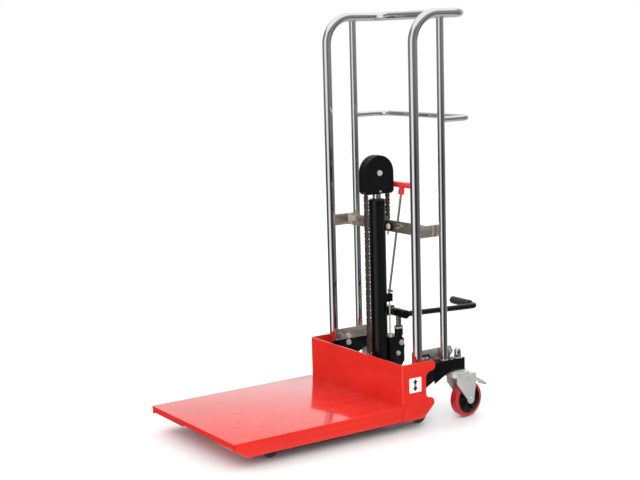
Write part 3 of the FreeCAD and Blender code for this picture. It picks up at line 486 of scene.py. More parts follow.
def refined(node, material, body, edge=None, segments=2, angle=32):
    """A copy of a CAD piece with its cut edges rounded; it stands for the CAD piece."""
    edge = sizes().plate_round if edge is None else edge
    bm = bmesh.new()
    bm.from_mesh(frame["nodes"][node].data)
    bmesh.ops.remove_doubles(bm, verts=bm.verts, dist=0.00001)
    bmesh.ops.dissolve_limit(bm, angle_limit=math.radians(0.6), verts=bm.verts, edges=bm.edges)
    mesh = bpy.data.meshes.new(node + "_finished")
    bm.to_mesh(mesh)
    bm.free()
    obj = piece(node + "_finished", mesh, material, body, (node,))
    bevel = obj.modifiers.new("round", "BEVEL")
    bevel.width = edge
    bevel.segments = segments
    bevel.limit_method = "ANGLE"
    bevel.angle_limit = math.radians(angle)
    depsgraph = bpy.context.evaluated_depsgraph_get()
    done = bpy.data.meshes.new_from_object(obj.evaluated_get(depsgraph))
    obj.modifiers.clear()
    obj.data = done
    done.shade_smooth()
    done.set_sharp_from_angle(angle=math.radians(40))
    return obj


def mm(*points):
    """Profile points given in millimetres."""
    return [(height * MM, radius * MM) for height, radius in points]


def frame_along(direction):
    """A turn that takes +Z to direction."""
    return Vector(direction).normalized().to_track_quat("Z", "Y").to_matrix()


def lathe(bm, profile, place, axis, steps=48, phase=0.0):
    """Turns (height, radius) points about an axis; a radius of 0 closes the end in a point."""
    turn = frame_along(axis)
    rings = []
    for height, radius in profile:
        if radius <= 1e-7:
            rings.append([bm.verts.new(Vector(place) + turn @ Vector((0, 0, height)))])
            continue
        rings.append([bm.verts.new(Vector(place) + turn @ Vector(
            (radius * math.cos(phase + 2 * math.pi * i / steps),
             radius * math.sin(phase + 2 * math.pi * i / steps), height))) for i in range(steps)])
    for low, high in zip(rings, rings[1:]):
        for i in range(steps):
            j = (i + 1) % steps
            if len(low) == 1 and len(high) > 1:
                bm.faces.new((low[0], high[j], high[i]))
            elif len(high) == 1 and len(low) > 1:
                bm.faces.new((low[i], low[j], high[0]))
            elif len(low) > 1:
                bm.faces.new((low[i], low[j], high[j], high[i]))
    for ring in (rings[0], rings[-1]):
        if len(ring) > 1:
            bm.faces.new(ring)
    return bm


def route(points, bends, step=math.radians(4)):
    """Points along straight runs with round bends."""
    points = [Vector(p) for p in points]
    line = [points[0]]
    for i in range(1, len(points) - 1):
        ahead = (points[i] - points[i - 1]).normalized()
        after = (points[i + 1] - points[i]).normalized()
        turn = ahead.angle(after)
        back = bends[i - 1] * math.tan(turn / 2)
        axis = ahead.cross(after).normalized()
        begin = points[i] - ahead * back
        middle = begin + axis.cross(ahead) * bends[i - 1]
        count = max(4, round(turn / step))
        for k in range(count + 1):
            line.append(middle + Matrix.Rotation(turn * k / count, 3, axis) @ (begin - middle))
    line.append(points[-1])
    return line


def sweep(bm, line, radius, sides=40, radii=None):
    """A round bar along a line of points."""
    ahead = (line[1] - line[0]).normalized()
    across = ahead.orthogonal().normalized()
    rings = []
    for i, point in enumerate(line):
        before = (line[i] - line[i - 1]).normalized() if i else ahead
        after = (line[i + 1] - line[i]).normalized() if i < len(line) - 1 else before
        tangent = (before + after).normalized()
        across = (across - tangent * across.dot(tangent)).normalized()
        other = tangent.cross(across)
        r = radii[i] if radii else radius
        rings.append([bm.verts.new(point + r * (across * math.cos(2 * math.pi * k / sides)
                                                + other * math.sin(2 * math.pi * k / sides)))
                      for k in range(sides)])
    for low, high in zip(rings, rings[1:]):
        for k in range(sides):
            bm.faces.new((low[k], low[(k + 1) % sides], high[(k + 1) % sides], high[k]))
    bm.faces.new(list(reversed(rings[0])))
    bm.faces.new(rings[-1])
    return bm


def hexagon(bm, across_flats, height, base, axis, turn=0.0, chamfer=0.12):
    """A hexagon head or nut with a chamfered top."""
    corner = across_flats / math.sqrt(3)
    profile = [(0, corner * 0.97), (height * 0.06, corner), (height * (1 - chamfer), corner),
               (height, corner * 0.86)]
    return lathe(bm, profile, base, axis, steps=6, phase=turn)


def washer(bm, radius, thick, base, axis):
    """A flat washer with softened rims, standing on base."""
    soft = thick * 0.25
    return lathe(bm, [(0, radius - soft), (soft, radius), (thick - soft, radius), (thick, radius - soft)],
                 base, axis, steps=32)


def bolt(bm, across_flats, base, axis, head, shank=0.0, shank_radius=0.0, turn=0.3):
    """Washer and hexagon head standing on base; an optional shank shows past the head."""
    thick = 0.0012
    way = Vector(axis).normalized()
    washer(bm, across_flats * 0.68, thick, base, axis)
    hexagon(bm, across_flats, head, Vector(base) + way * thick, axis, turn)
    if shank:
        top = thick + head
        thread = []
        turns = max(2, round((shank - 0.001) / 0.0012))
        for k in range(turns):
            z = top + (shank - 0.001) * k / turns
            thread += [(z, shank_radius * 0.9), (z + 0.0006, shank_radius)]
        thread += [(top + shank - 0.0008, shank_radius * 0.92), (top + shank, shank_radius * 0.7)]
        lathe(bm, thread, base, axis, steps=20)
    return bm


def bead(bm, points, radius, closed=False, seed=0.0):
    """A weld bead along points, with the scalloped shape of stacked weld pools."""
    dense = []
    count = len(points) if closed else len(points) - 1
    for i in range(count):
        a = Vector(points[i])
        b = Vector(points[(i + 1) % len(points)])
        parts = max(1, round((b - a).length / (radius * 0.35)))
        dense += [a.lerp(b, k / parts) for k in range(parts)]
    dense.append(Vector(points[0] if closed else points[-1]))
    radii = [radius * (0.86 + 0.16 * abs(math.sin(seed + k * 0.9))) for k in range(len(dense))]
    return sweep(bm, dense, radius, sides=8, radii=radii)


def circle_points(centre, axis, radius, count=24):
    """Points round a full circle about an axis."""
    turn = frame_along(axis)
    return [Vector(centre) + turn @ Vector((radius * math.cos(2 * math.pi * k / count),
                                            radius * math.sin(2 * math.pi * k / count), 0))
            for k in range(count)]


def middle(node):
    """Middle of a CAD node's box."""
    low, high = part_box(node)
    return (low + high) / 2


# ---------------------------------------------------------------------------------------------
# Tube frame
# ---------------------------------------------------------------------------------------------
def mast_tubes():
    """Bow with front posts, rear posts and guard rail, with weld beads where they meet."""
    low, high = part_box("mast_loop")
    r = POST_RADIUS
    front_bend = 97 * MM
    corner_bend = 70 * MM
    x = high.x - r
    y0, y1, top = low.y + r, high.y - r, high.z - r
    points = [(-x, y0, low.z), (-x, y0, top), (-x, y1, top), (x, y1, top), (x, y0, top), (x, y0, low.z)]
    line = route(points, [front_bend, corner_bend, corner_bend, front_bend])
    piece("push_bow", sweep(bmesh.new(), line, r, sides=56), chrome(), "frame",
          ("mast_loop",))
    rail_low, rail_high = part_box("guard_rail")
    rail_r = (rail_high.z - rail_low.z) / 2
    rail_z = (rail_high.z + rail_low.z) / 2
    for side in SIDES:
        post_low, post_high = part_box("rear_post_" + side)
        post = middle("rear_post_" + side)
        post_r = (post_high.x - post_low.x) / 2
        up_to = top - r * 0.55
        bm = sweep(bmesh.new(), [Vector((post.x, post.y, post_low.z)), Vector((post.x, post.y, up_to))],
                   post_r, sides=48)
        piece("rear_tube_" + side, bm, chrome(), "frame", ("rear_post_" + side,))
        bm = bmesh.new()
        ring = []
        for k in range(40):
            a = 2 * math.pi * k / 40
            dx = post_r * math.cos(a)
            ring.append((post.x + dx, post.y + post_r * math.sin(a), top - math.sqrt(r * r - dx * dx)))
        bead(bm, ring, sizes().weld, closed=True)
        bead(bm, circle_points((post.x, post.y, post_low.z + 0.0008), (0, 0, 1), post_r), sizes().weld,
             closed=True)
        rail_joint = []
        for k in range(32):
            a = 2 * math.pi * k / 32
            dx = rail_r * math.cos(a)
            rail_joint.append((post.x + dx, post.y + math.sqrt(post_r ** 2 - dx * dx),
                               rail_z + rail_r * math.sin(a)))
        bead(bm, rail_joint, sizes().weld * 0.85, closed=True)
        piece("post_welds_" + side, bm, dull_chrome(), "frame")
    post = middle("rear_post_right")
    back = rail_high.y - rail_r
    start = post.y + 9 * MM
    points = [(-post.x, start, rail_z), (-post.x, back, rail_z), (post.x, back, rail_z),
              (post.x, start, rail_z)]
    line = route(points, [45 * MM, 45 * MM])
    piece("rail_tube", sweep(bmesh.new(), line, rail_r, sides=40), chrome(), "frame",
          ("guard_rail",))


def braces():
    """Mid brace and lower brace plates, and the beads that hold them to the posts."""
    refined("mid_brace", dull_chrome(), "frame", 0.0008)
    post = middle("rear_post_right")
    front_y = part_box("mast_loop")[0].y + POST_RADIUS
    mid_low, mid_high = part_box("mid_brace")
    bar_y = middle("chain_anchor_rear").y - 9 * MM
    for side, sign in SIDES.items():
        refined("lower_brace_" + side, dull_chrome(), "frame", 0.0008)
        low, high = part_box("lower_brace_" + side)
        bm = bmesh.new()
        face_x = sign * abs(mid_high.x)
        for z0, z1 in ((mid_low.z, mid_high.z), (low.z, high.z)):
            for y in (front_y + 4.5 * MM, front_y - 4.5 * MM, post.y + 4 * MM, post.y - 4 * MM):
                if z0 == mid_low.z and y not in (front_y + 4.5 * MM, post.y - 4 * MM):
                    continue
                bead(bm, [(face_x, y, z0 + 0.004), (face_x, y, z1 - 0.004)], sizes().weld * 0.8,
                     seed=y * 90)
        inner_x = sign * (abs(mid_high.x) - 6 * MM)
        bead(bm, [(inner_x, bar_y, mid_low.z + 0.003), (inner_x, bar_y, mid_high.z - 0.003)],
             sizes().weld * 0.8)
        piece("brace_welds_" + side, bm, dull_chrome(), "frame")


def fasteners():
    """Bolts of the braces and of the cylinder lug, with washers and threads."""
    low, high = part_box("frame_bolts")
    bm = bmesh.new()
    lower_low, lower_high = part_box("lower_brace_right")
    bolt_y = lower_low.y + 56 * MM
    for sign in SIDES.values():
        face = sign * lower_low.x
        for z in (224 * MM, 200 * MM):
            bolt(bm, 16 * MM, (face, bolt_y, z), (-sign, 0, 0), 6 * MM, turn=z * 40)
            nut_face = sign * (lower_high.x + 4 * MM)
            washer(bm, 8.1 * MM, 1 * MM, (nut_face, bolt_y, z), (sign, 0, 0))
    z = middle("mid_brace").z
    for x in (-37 * MM, 37 * MM):
        bolt(bm, 16 * MM, (x, low.y + 6 * MM, z), (0, -1, 0), 5 * MM, turn=x * 30)
        bolt(bm, 16 * MM, (x, high.y - 8 * MM, z), (0, 1, 0), 6 * MM, shank=2 * MM, shank_radius=4.8 * MM)
    piece("brace_bolts", bm, zinc(), "frame", ("frame_bolts",))


# ---------------------------------------------------------------------------------------------
# Base
# ---------------------------------------------------------------------------------------------
def base():
    """Side arms, legs and base beam, with their axles."""
    bm = bmesh.new()
    for side, sign in SIDES.items():
        refined("side_arm_" + side, black_paint(), "frame", 0.0012)
        refined("leg_" + side, black_paint(), "frame")
        leg_low, leg_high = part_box("leg_" + side)
        edge_x = sign * max(abs(leg_low.x), abs(leg_high.x))
        arm_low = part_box("side_arm_" + side)[0]
        bead(bm, [(edge_x, arm_low.y + 0.004, leg_high.z), (edge_x, arm_low.y + 0.034, leg_high.z)],
             sizes().weld)
    refined("base_beam", black_paint(), "frame", 0.0015)
    beam_low, beam_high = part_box("base_beam")
    for x in (beam_low.x, beam_high.x):
        inner = x - math.copysign(0.0008, x)
        bead(bm, [(inner, beam_low.y, beam_low.z), (inner, beam_low.y, beam_high.z),
                  (inner, beam_high.y, beam_high.z), (inner, beam_high.y, beam_low.z)], sizes().weld)
    piece("base_welds", bm, black_paint(), "frame")
    bm = bmesh.new()
    for side in SIDES:
        leg_low, leg_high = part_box("leg_" + side)
        for name in ("front_roller_", "base_roller_"):
            centre = middle(name + side)
            for x, way in ((leg_low.x, -1), (leg_high.x, 1)):
                washer(bm, 9.5 * MM, 1.2 * MM, (x, centre.y, centre.z), (way, 0, 0))
            lathe(bm, [(0, 6.4 * MM), (0.6 * MM, 7 * MM), (leg_high.x - leg_low.x - 0.6 * MM, 7 * MM),
                       (leg_high.x - leg_low.x, 6.4 * MM)], (leg_low.x, centre.y, centre.z),
                  (1, 0, 0), steps=36)
    piece("roller_axles", bm, turned_steel(), "frame", ("floor_axles",))


def floor_rollers():
    """Nylon rollers with a bearing seat at each side."""
    for side in SIDES:
        for name in ("front_roller_", "base_roller_"):
            node = name + side
            low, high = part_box(node)
            r = (high.z - low.z) / 2
            w = high.x - low.x
            soft = 3 * MM
            profile = [(1.2 * MM, 7.1 * MM), (1.2 * MM, 13 * MM), (0.2 * MM, 13.4 * MM), (0, 14 * MM),
                       (0, 19 * MM), (0.8 * MM, 19.6 * MM), (0.8 * MM, r - soft - 1.5 * MM),
                       (0, r - soft - 1 * MM)]
            arc = [(soft * (1 - math.cos(a)), r - soft + soft * math.sin(a))
                   for a in (math.radians(15 * k) for k in range(7))]
            half = profile + arc
            whole = half + [(w - h, radius) for h, radius in reversed(half)]
            bm = lathe(bmesh.new(), whole, (low.x, (low.y + high.y) / 2, (low.z + high.z) / 2), (1, 0, 0),
                       72)
            piece(node + "_wheel", bm, nylon(), node, (node,))


# ---------------------------------------------------------------------------------------------
# Carriage
# ---------------------------------------------------------------------------------------------
def carriage():
    """Panel, forks, platform, axles and the front chain anchor."""
    refined("carriage_panel", red_paint(), "carriage", 0.0008, segments=3)
    refined("platform", red_paint(), "carriage", sizes().fold_round, segments=4, angle=60)
    for side in SIDES:
        refined("fork_" + side, red_paint(), "carriage", 0.0016, segments=3)
    panel_low, panel_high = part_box("carriage_panel")
    bm = bmesh.new()
    for side in SIDES:
        low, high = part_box("fork_" + side)
        for x in (low.x + 0.004, high.x - 0.004):
            bead(bm, [(x, panel_low.y - 0.0006, low.z + 0.004), (x, panel_low.y - 0.0006, high.z - 0.006)],
                 sizes().weld * 0.8, seed=x * 50)
    piece("fork_welds", bm, red_paint(), "carriage")
    bm = bmesh.new()
    caps = bmesh.new()
    for side, sign in SIDES.items():
        for node in ("upper_guide_", "lower_guide_", "back_guide_"):
            centre = middle(node + side)
            outer = sign * panel_high.x
            way = (-sign, 0, 0)
            start = (outer - sign * 0.3 * MM, centre.y, centre.z)
            length = abs(outer) - (abs(centre.x) - 11 * MM)
            shoulder = abs(outer) - (abs(centre.x) + 10.3 * MM)
            wall = 5 * MM
            lathe(caps, mm((0, 5.6), (0.7, 5.3), (1.0, 4.4), (1.0, 0)),
                  (outer, centre.y, centre.z), (sign, 0, 0), 28)
            lathe(bm, [(0, 4.2 * MM), (0.5 * MM, 4.9 * MM), (wall, 4.9 * MM), (wall, 7.6 * MM),
                       (shoulder - 0.8 * MM, 7.6 * MM), (shoulder - 0.3 * MM, 7.1 * MM),
                       (shoulder - 0.3 * MM, 4.9 * MM),
                       (length - 0.8 * MM, 4.9 * MM), (length - 0.3 * MM, 4.2 * MM)], start, way, 36)
    piece("guide_pins", bm, turned_steel(), "carriage", ("guide_axles",))
    piece("painted_pin_heads", caps, red_paint(), "carriage")
    anchor("chain_anchor_front", "carriage")


def anchor(node, body):
    """Eye bolt of the chain: eye, threaded shank, washer and lock nut."""
    low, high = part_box(node)
    x, y = (low.x + high.x) / 2, (low.y + high.y) / 2
    bm = bmesh.new()
    nut_top = {"chain_anchor_front": 178 * MM, "chain_anchor_rear": 645 * MM}[node]
    eye = high.z - 8 * MM
    thread = []
    z = 0.0
    length = eye - low.z - 3 * MM
    while z < length - 1.25 * MM:
        threaded = z < nut_top - low.z + 2 * MM
        thread += [(z, 3.45 * MM if threaded else 3.9 * MM), (z + 0.62 * MM, 3.95 * MM)]
        z += 1.25 * MM
    thread.append((length, 3.9 * MM))
    lathe(bm, thread, (x, y, low.z), (0, 0, 1), 20)
    hexagon(bm, 13.4 * MM, 6.5 * MM, (x, y, nut_top - 0.2 * MM), (0, 0, -1), 0.2)
    washer(bm, 7.7 * MM, 0.2 * MM, (x, y, nut_top), (0, 0, -1))
    lathe(bm, mm((-2.9, 4.0), (-2.2, 4.8), (2.2, 4.8), (2.9, 4.0)),
          (x, y, eye), (1, 0, 0), 32)
    lathe(bm, mm((-7.4, 2.0), (-6.9, 2.3), (6.9, 2.3), (7.4, 2.0)),
          (x, y, eye), (1, 0, 0), 20)
    piece(node + "_eye_bolt", bm, zinc(), body, (node,))


def guide_rollers():
    """Grooved rollers that run on the front posts."""
    for side in SIDES:
        for name in ("upper_guide_", "lower_guide_", "back_guide_"):
            node = name + side
            low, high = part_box(node)
            r = (high.z - low.z) / 2
            half = (high.x - low.x) / 2
            reach = half - 1 * MM
            groove_r = POST_RADIUS + 0.3 * MM
            groove_depth = 2.7 * MM
            centre = r - groove_depth + groove_r
            rim = centre - math.sqrt(groove_r ** 2 - reach ** 2)
            profile = [(-half + 1 * MM, 5.06 * MM), (-half + 1 * MM, r * 0.6), (-half, r * 0.62),
                       (-half, rim - 0.6 * MM), (-half + 0.3 * MM, rim - 0.1 * MM)]
            for k in range(13):
                a = -reach + 2 * reach * k / 12
                profile.append((a, centre - math.sqrt(groove_r ** 2 - a * a)))
            profile += [(-h, radius) for h, radius in reversed(profile[:5])]
            bm = lathe(bmesh.new(), profile, middle(node), (1, 0, 0), 64)
            piece(node + "_wheel", bm, turned_steel(), node, (node,))


def label():
    """Plain label on the side plate: a white card with two arrows for up and down."""
    low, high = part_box("carriage_panel")
    side = sizes().label_size
    x = high.x + 0.0002
    y0 = low.y + 26 * MM
    z0 = 131 * MM
    bm = bmesh.new()
    soft = 3 * MM
    corners = [(y0 + soft, z0 + soft, 180), (y0 + side - soft, z0 + soft, 270),
               (y0 + side - soft, z0 + side - soft, 0), (y0 + soft, z0 + side - soft, 90)]
    outline = []
    for cy, cz, start in corners:
        for k in range(7):
            a = math.radians(start + 15 * k)
            outline.append((cy + soft * math.cos(a), cz + soft * math.sin(a)))
    slab(bm, outline, x, 0.0002)
    piece("side_label", bm, label_vinyl(), "carriage")
    bm = bmesh.new()
    cy = y0 + side / 2
    for cz, way in ((z0 + side * 0.70, 1), (z0 + side * 0.30, -1)):
        arrow = [(cy - 5 * MM, cz - way * 9 * MM), (cy + 5 * MM, cz - way * 9 * MM),
                 (cy + 5 * MM, cz - way * 1 * MM),
                 (cy + 11 * MM, cz - way * 1 * MM), (cy, cz + way * 11 * MM),
                 (cy - 11 * MM, cz - way * 1 * MM),
                 (cy - 5 * MM, cz - way * 1 * MM)]
        slab(bm, arrow, x + 0.0002, 0.0001)
    for edge in (y0 + 7 * MM, y0 + side - 8 * MM):
        slab(bm, [(edge, z0 + 7 * MM), (edge + 1 * MM, z0 + 7 * MM), (edge + 1 * MM, z0 + side - 7 * MM),
                  (edge, z0 + side - 7 * MM)], x + 0.0002, 0.0001)
    piece("side_label_arrows", bm, label_ink(), "carriage")


def slab(bm, outline, x, thick):
    """A thin plate standing on a plane of constant x, from (y, z) points."""
    back = [bm.verts.new((x, y, z)) for y, z in outline]
    front = [bm.verts.new((x + thick, y, z)) for y, z in outline]
    bm.faces.new(back)
    bm.faces.new(front)
    for i in range(len(outline)):
        j = (i + 1) % len(outline)
        bm.faces.new((back[i], back[j], front[j], front[i]))
    return bm


# ---------------------------------------------------------------------------------------------
# Lift cylinder, chain and cover
# ---------------------------------------------------------------------------------------------
def lift_cylinder():
    """Barrel with its blocks, head nut with wiper ring, and the chromed piston rod."""
    refined("cylinder_barrel", black_paint(), "frame")
    low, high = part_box("cylinder_gland")
    barrel_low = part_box("cylinder_barrel")[0]
    centre = ((low.x + high.x) / 2, (low.y + high.y) / 2, low.z)
    r = (high.x - low.x) / 2
    tall = high.z - low.z
    profile = [(0.4 * MM, r - 1.0 * MM), (1.2 * MM, r)]
    shoulder = 7 * MM
    for k in range(9):
        a = math.radians(90 * k / 8)
        profile.append((tall - shoulder + shoulder * math.sin(a), r - shoulder + shoulder * math.cos(a)))
    profile += [(tall, 19 * MM), (tall - 2 * MM, 18.4 * MM), (tall - 2 * MM, 14.6 * MM)]
    bm = lathe(bmesh.new(), profile, centre, (0, 0, 1), 64)
    piece("head_nut", bm, black_paint(), "frame", ("cylinder_gland",))
    bm = lathe(bmesh.new(), mm((0, 14.62), (0, 18), (2.6, 17.4), (3.4, 15.4), (3.4, 14.62)),
               (centre[0], centre[1], high.z - 2 * MM), (0, 0, 1), 64)
    piece("wiper_ring", bm, rubber(), "frame")
    bm = bead(bmesh.new(), circle_points((centre[0], centre[1], barrel_low.z + 10.5 * MM), (0, 0, 1),
                                         BARREL_RADIUS, 48),
              0.0026, closed=True)
    piece("barrel_weld", bm, black_paint(), "frame")
    rod_low, rod_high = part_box("piston_rod")
    bore = (rod_high.x - rod_low.x) / 2
    tall = rod_high.z - rod_low.z
    profile = [(0, bore - 1 * MM), (1 * MM, bore), (12 * MM, bore), (12.5 * MM, bore - 2 * MM),
               (16 * MM, bore - 2 * MM), (16.5 * MM, bore), (29 * MM, bore), (30 * MM, bore - 1 * MM),
               (30 * MM, 14.5 * MM), (tall - 1.2 * MM, 14.5 * MM), (tall, 13.6 * MM)]
    bm = lathe(bmesh.new(), profile, (centre[0], centre[1], rod_low.z), (0, 0, 1), 64)
    piece("chromed_rod", bm, chrome(), "ram", ("piston_rod",))


def link_plate(bm, a, b, across, half_height, thick, offset):
    """A waisted chain plate round two pins a and b, shifted sideways along across."""
    ahead = (b - a).normalized()
    up = ahead.cross(across).normalized()
    outline = []
    for centre, start in ((a, 90), (b, -90)):
        for k in range(9):
            t = math.radians(start + 180 * k / 8)
            outline.append(centre + ahead * (half_height * math.cos(t)) + up * (half_height * math.sin(t)))
        waist = (a + b) / 2 + up * (half_height * (-0.72 if centre is a else 0.72))
        outline.append(waist)
    front = [bm.verts.new(p + across * (offset + thick / 2)) for p in outline]
    back = [bm.verts.new(p + across * (offset - thick / 2)) for p in outline]
    bm.faces.new(front)
    bm.faces.new(list(reversed(back)))
    count = len(outline)
    for i in range(count):
        j = (i + 1) % count
        bm.faces.new((front[j], front[i], back[i], back[j]))


def chain_run(name, pins, body, replaces, first=0):
    """Roller chain through a list of pin centres, alternating outer and inner links."""
    bm = bmesh.new()
    across = Vector((1, 0, 0))
    half_height = sizes().chain_plate / 2
    for i in range(len(pins) - 1):
        a, b = pins[i], pins[i + 1]
        outer = (i + first) % 2 == 0
        offset = 6.3 * MM if outer else 4.6 * MM
        for way in (-1, 1):
            link_plate(bm, a, b, across, half_height * (1.0 if outer else 0.94), 1.4 * MM, way * offset)
    for pin in pins:
        lathe(bm, mm((-7.9, 1.5), (-7.5, 2.1), (7.5, 2.1), (7.9, 1.5)),
              pin, (1, 0, 0), 12)
        before = len(bm.faces)
        lathe(bm, mm((-3.7, 3.6), (-3.3, 4.0), (3.3, 4.0), (3.7, 3.6)),
              pin, (1, 0, 0), 16)
        bm.faces.ensure_lookup_table()
        for face in bm.faces[before:]:
            face.material_index = 1
    run = piece(name, bm, chain_steel(), body, replaces)
    run.data.materials.append(roller_bronze())
    return run


def straight_pins(x, y, low, high):
    """Pin centres of an upright run of chain, near one pitch apart."""
    count = max(1, round((high - low) / sizes().chain_pitch))
    return [Vector((x, y, low + (high - low) * k / count)) for k in range(count + 1)]


REAR_PARTS = 6


def chain():
    """The lifting chain: front strand, arc over the wheel, and rear strand."""
    wrap_low, wrap_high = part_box("chain_wrap")
    depth = 6 * MM
    front_y, rear_y = wrap_low.y + depth, wrap_high.y - depth
    centre_y = (front_y + rear_y) / 2
    radius = (rear_y - front_y) / 2
    wheel_z = middle("chain_wheel").z
    pins = straight_pins(0, front_y, wrap_low.z, wheel_z)
    arc_count = round(math.pi * radius / sizes().chain_pitch)
    pins += [Vector((0, centre_y - radius * math.cos(math.pi * k / arc_count),
                     wheel_z + radius * math.sin(math.pi * k / arc_count))) for k in range(1, arc_count)]
    pins += list(reversed(straight_pins(0, rear_y, wrap_low.z, wheel_z)))
    chain_run("chain_over_wheel", pins, "ram", ("chain_wrap",))
    low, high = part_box("chain_front_strand")
    pins = straight_pins(0, front_y, low.z - 8 * MM, high.z)
    front = chain_run("chain_front", pins, "ram", ("chain_front_strand",), 1)
    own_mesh(front)
    low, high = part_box("chain_rear_strand")
    pins = straight_pins(0, rear_y, low.z - 8 * MM, high.z)
    joints = len(pins) - 1
    for part in range(REAR_PARTS):
        begin, end = round(part * joints / REAR_PARTS), round((part + 1) * joints / REAR_PARTS)
        strand = chain_run(f"chain_rear_{part + 1}", pins[begin:end + 1], None,
                           ("chain_rear_strand",) if part == 0 else (), begin)
        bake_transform(strand)
    anchor("chain_anchor_rear", "frame")


def chain_cover():
    """Two cover shells with their seam, the yoke, the wheel and its axle."""
    for side in SIDES:
        refined("chain_cover_" + side, cover_paint(), "ram", 0.0006)
    low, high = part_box("chain_cover_right")
    centre = Vector((0, (low.y + high.y) / 2, middle("chain_wheel").z))
    r = (high.y - low.y) / 2
    bm = bmesh.new()
    outline = [(low.y, low.z + 14 * MM), (low.y, centre.z)]
    outline += [(centre.y - r * math.cos(math.pi * k / 40), centre.z + r * math.sin(math.pi * k / 40))
                for k in range(1, 40)]
    outline += [(high.y, centre.z), (high.y, low.z + 14 * MM)]
    sweep(bm, [Vector((0, y, z)) for y, z in outline], 0.9 * MM, sides=8)
    piece("cover_seam", bm, cover_paint(), "ram")
    bm = bmesh.new()
    for x, way in ((high.x, 1), (-high.x, -1)):
        bolt(bm, 15 * MM, (x, centre.y, centre.z), (way, 0, 0), 6 * MM, turn=0.4)
    lathe(bm, [(0, 5.98 * MM), (2 * high.x, 5.98 * MM)], (-high.x, centre.y, centre.z), (1, 0, 0), 40)
    piece("wheel_bolt", bm, zinc(), "ram", ("chain_wheel_axle",))
    bm = bmesh.new()
    for x, way in ((high.x - 0.1 * MM, 1), (-high.x + 0.1 * MM, -1)):
        lathe(bm, mm((0, 3.6), (0.9, 3.4), (1.7, 2.2), (1.9, 1.6), (1.1, 1.3), (1.1, 0)),
              (x, centre.y + 2 * MM, centre.z - 64 * MM), (way, 0, 0), 24)
    piece("cover_screws", bm, zinc(), "ram")
    refined("chain_yoke", black_paint(), "ram")
    refined("chain_wheel", turned_steel(), "chain_wheel", 0.0005)


# ---------------------------------------------------------------------------------------------
# Pump, pedal and release
# ---------------------------------------------------------------------------------------------
def pump():
    """Cast valve block, its plugs and return spring, and the plunger."""
    refined("pump_block", cast_paint(), "frame", 0.0020, segments=3)
    block_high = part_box("pump_block")[1]
    plunger = middle("pump_plunger")
    spring_low, spring_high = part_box("pump_spring")
    bm = bmesh.new()
    turns = 7
    wire_r = sizes().spring_wire / 2
    r = 9.95 * MM
    line = []
    rise = spring_high.z - spring_low.z - 2 * wire_r
    for k in range(turns * 24 + 1):
        share_up = k / (turns * 24)
        eased = min(1.0, max(0.0, (share_up - 1 / turns) / (1 - 2 / turns)))
        a = 2 * math.pi * turns * share_up
        line.append(Vector((plunger.x + r * math.cos(a), plunger.y + r * math.sin(a),
                            spring_low.z + wire_r + rise * eased)))
    sweep(bm, line, wire_r, sides=10)
    spring = piece("return_spring", bm, dark_spring(), "frame", ("pump_spring",))
    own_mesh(spring)
    low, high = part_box("pump_plunger")
    cap = high.z - low.z
    profile = [(0, 8.0 * MM), (1 * MM, 8.95 * MM), (cap - 6 * MM, 8.95 * MM), (cap - 6 * MM, 9.7 * MM),
               (cap - 5.2 * MM, 10.5 * MM), (cap - 1.2 * MM, 10.5 * MM), (cap, 9.3 * MM), (cap, 0)]
    bm = lathe(bmesh.new(), profile, (plunger.x, plunger.y, low.z), (0, 0, 1), 40)
    piece("plunger_rod", bm, turned_steel(), "pump_plunger", ("pump_plunger",))
    bm = lathe(bmesh.new(), mm((0, 15.2), (0, 17), (5, 17), (6, 16), (6, 15.2)),
               (plunger.x, plunger.y, spring_low.z - 8 * MM), (0, 0, 1), 40)
    piece("pump_cylinder_band", bm, zinc(), "frame")
    bm = bmesh.new()
    rear = block_high.y
    x_right = block_high.x
    for x, y, z, across, axis in (
            (-15, rear, 236, 15, (0, 1, 0)), (-15, rear, 196, 13, (0, 1, 0)),
            (20, rear, 222, 13, (0, 1, 0)),
            (x_right / MM, plunger.y, 238, 15, (1, 0, 0)),
            (x_right / MM, plunger.y - 16 * MM, 202, 13, (1, 0, 0))):
        base = (x * MM, y, z * MM)
        bolt(bm, across * MM, base, axis, 6 * MM, turn=z)
        tip = Vector(base) + Vector(axis) * 7.2 * MM
        lathe(bm, mm((0, 3.4), (1.4, 3.2), (1.8, 2.4), (1.8, 0)), tip, axis, 20)
    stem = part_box("pump_fittings")
    stem_y = stem[0].y + 7.5 * MM
    hexagon(bm, 14 * MM, 8 * MM, (24 * MM, stem_y, 262 * MM), (0, 0, 1), 0.4)
    lathe(bm, [(0, 2.9 * MM), (stem[1].z - 262 * MM, 2.9 * MM)], (24 * MM, stem_y, 262 * MM), (0, 0, 1), 20)
    piece("valve_plugs", bm, zinc(), "frame", ("pump_fittings",))


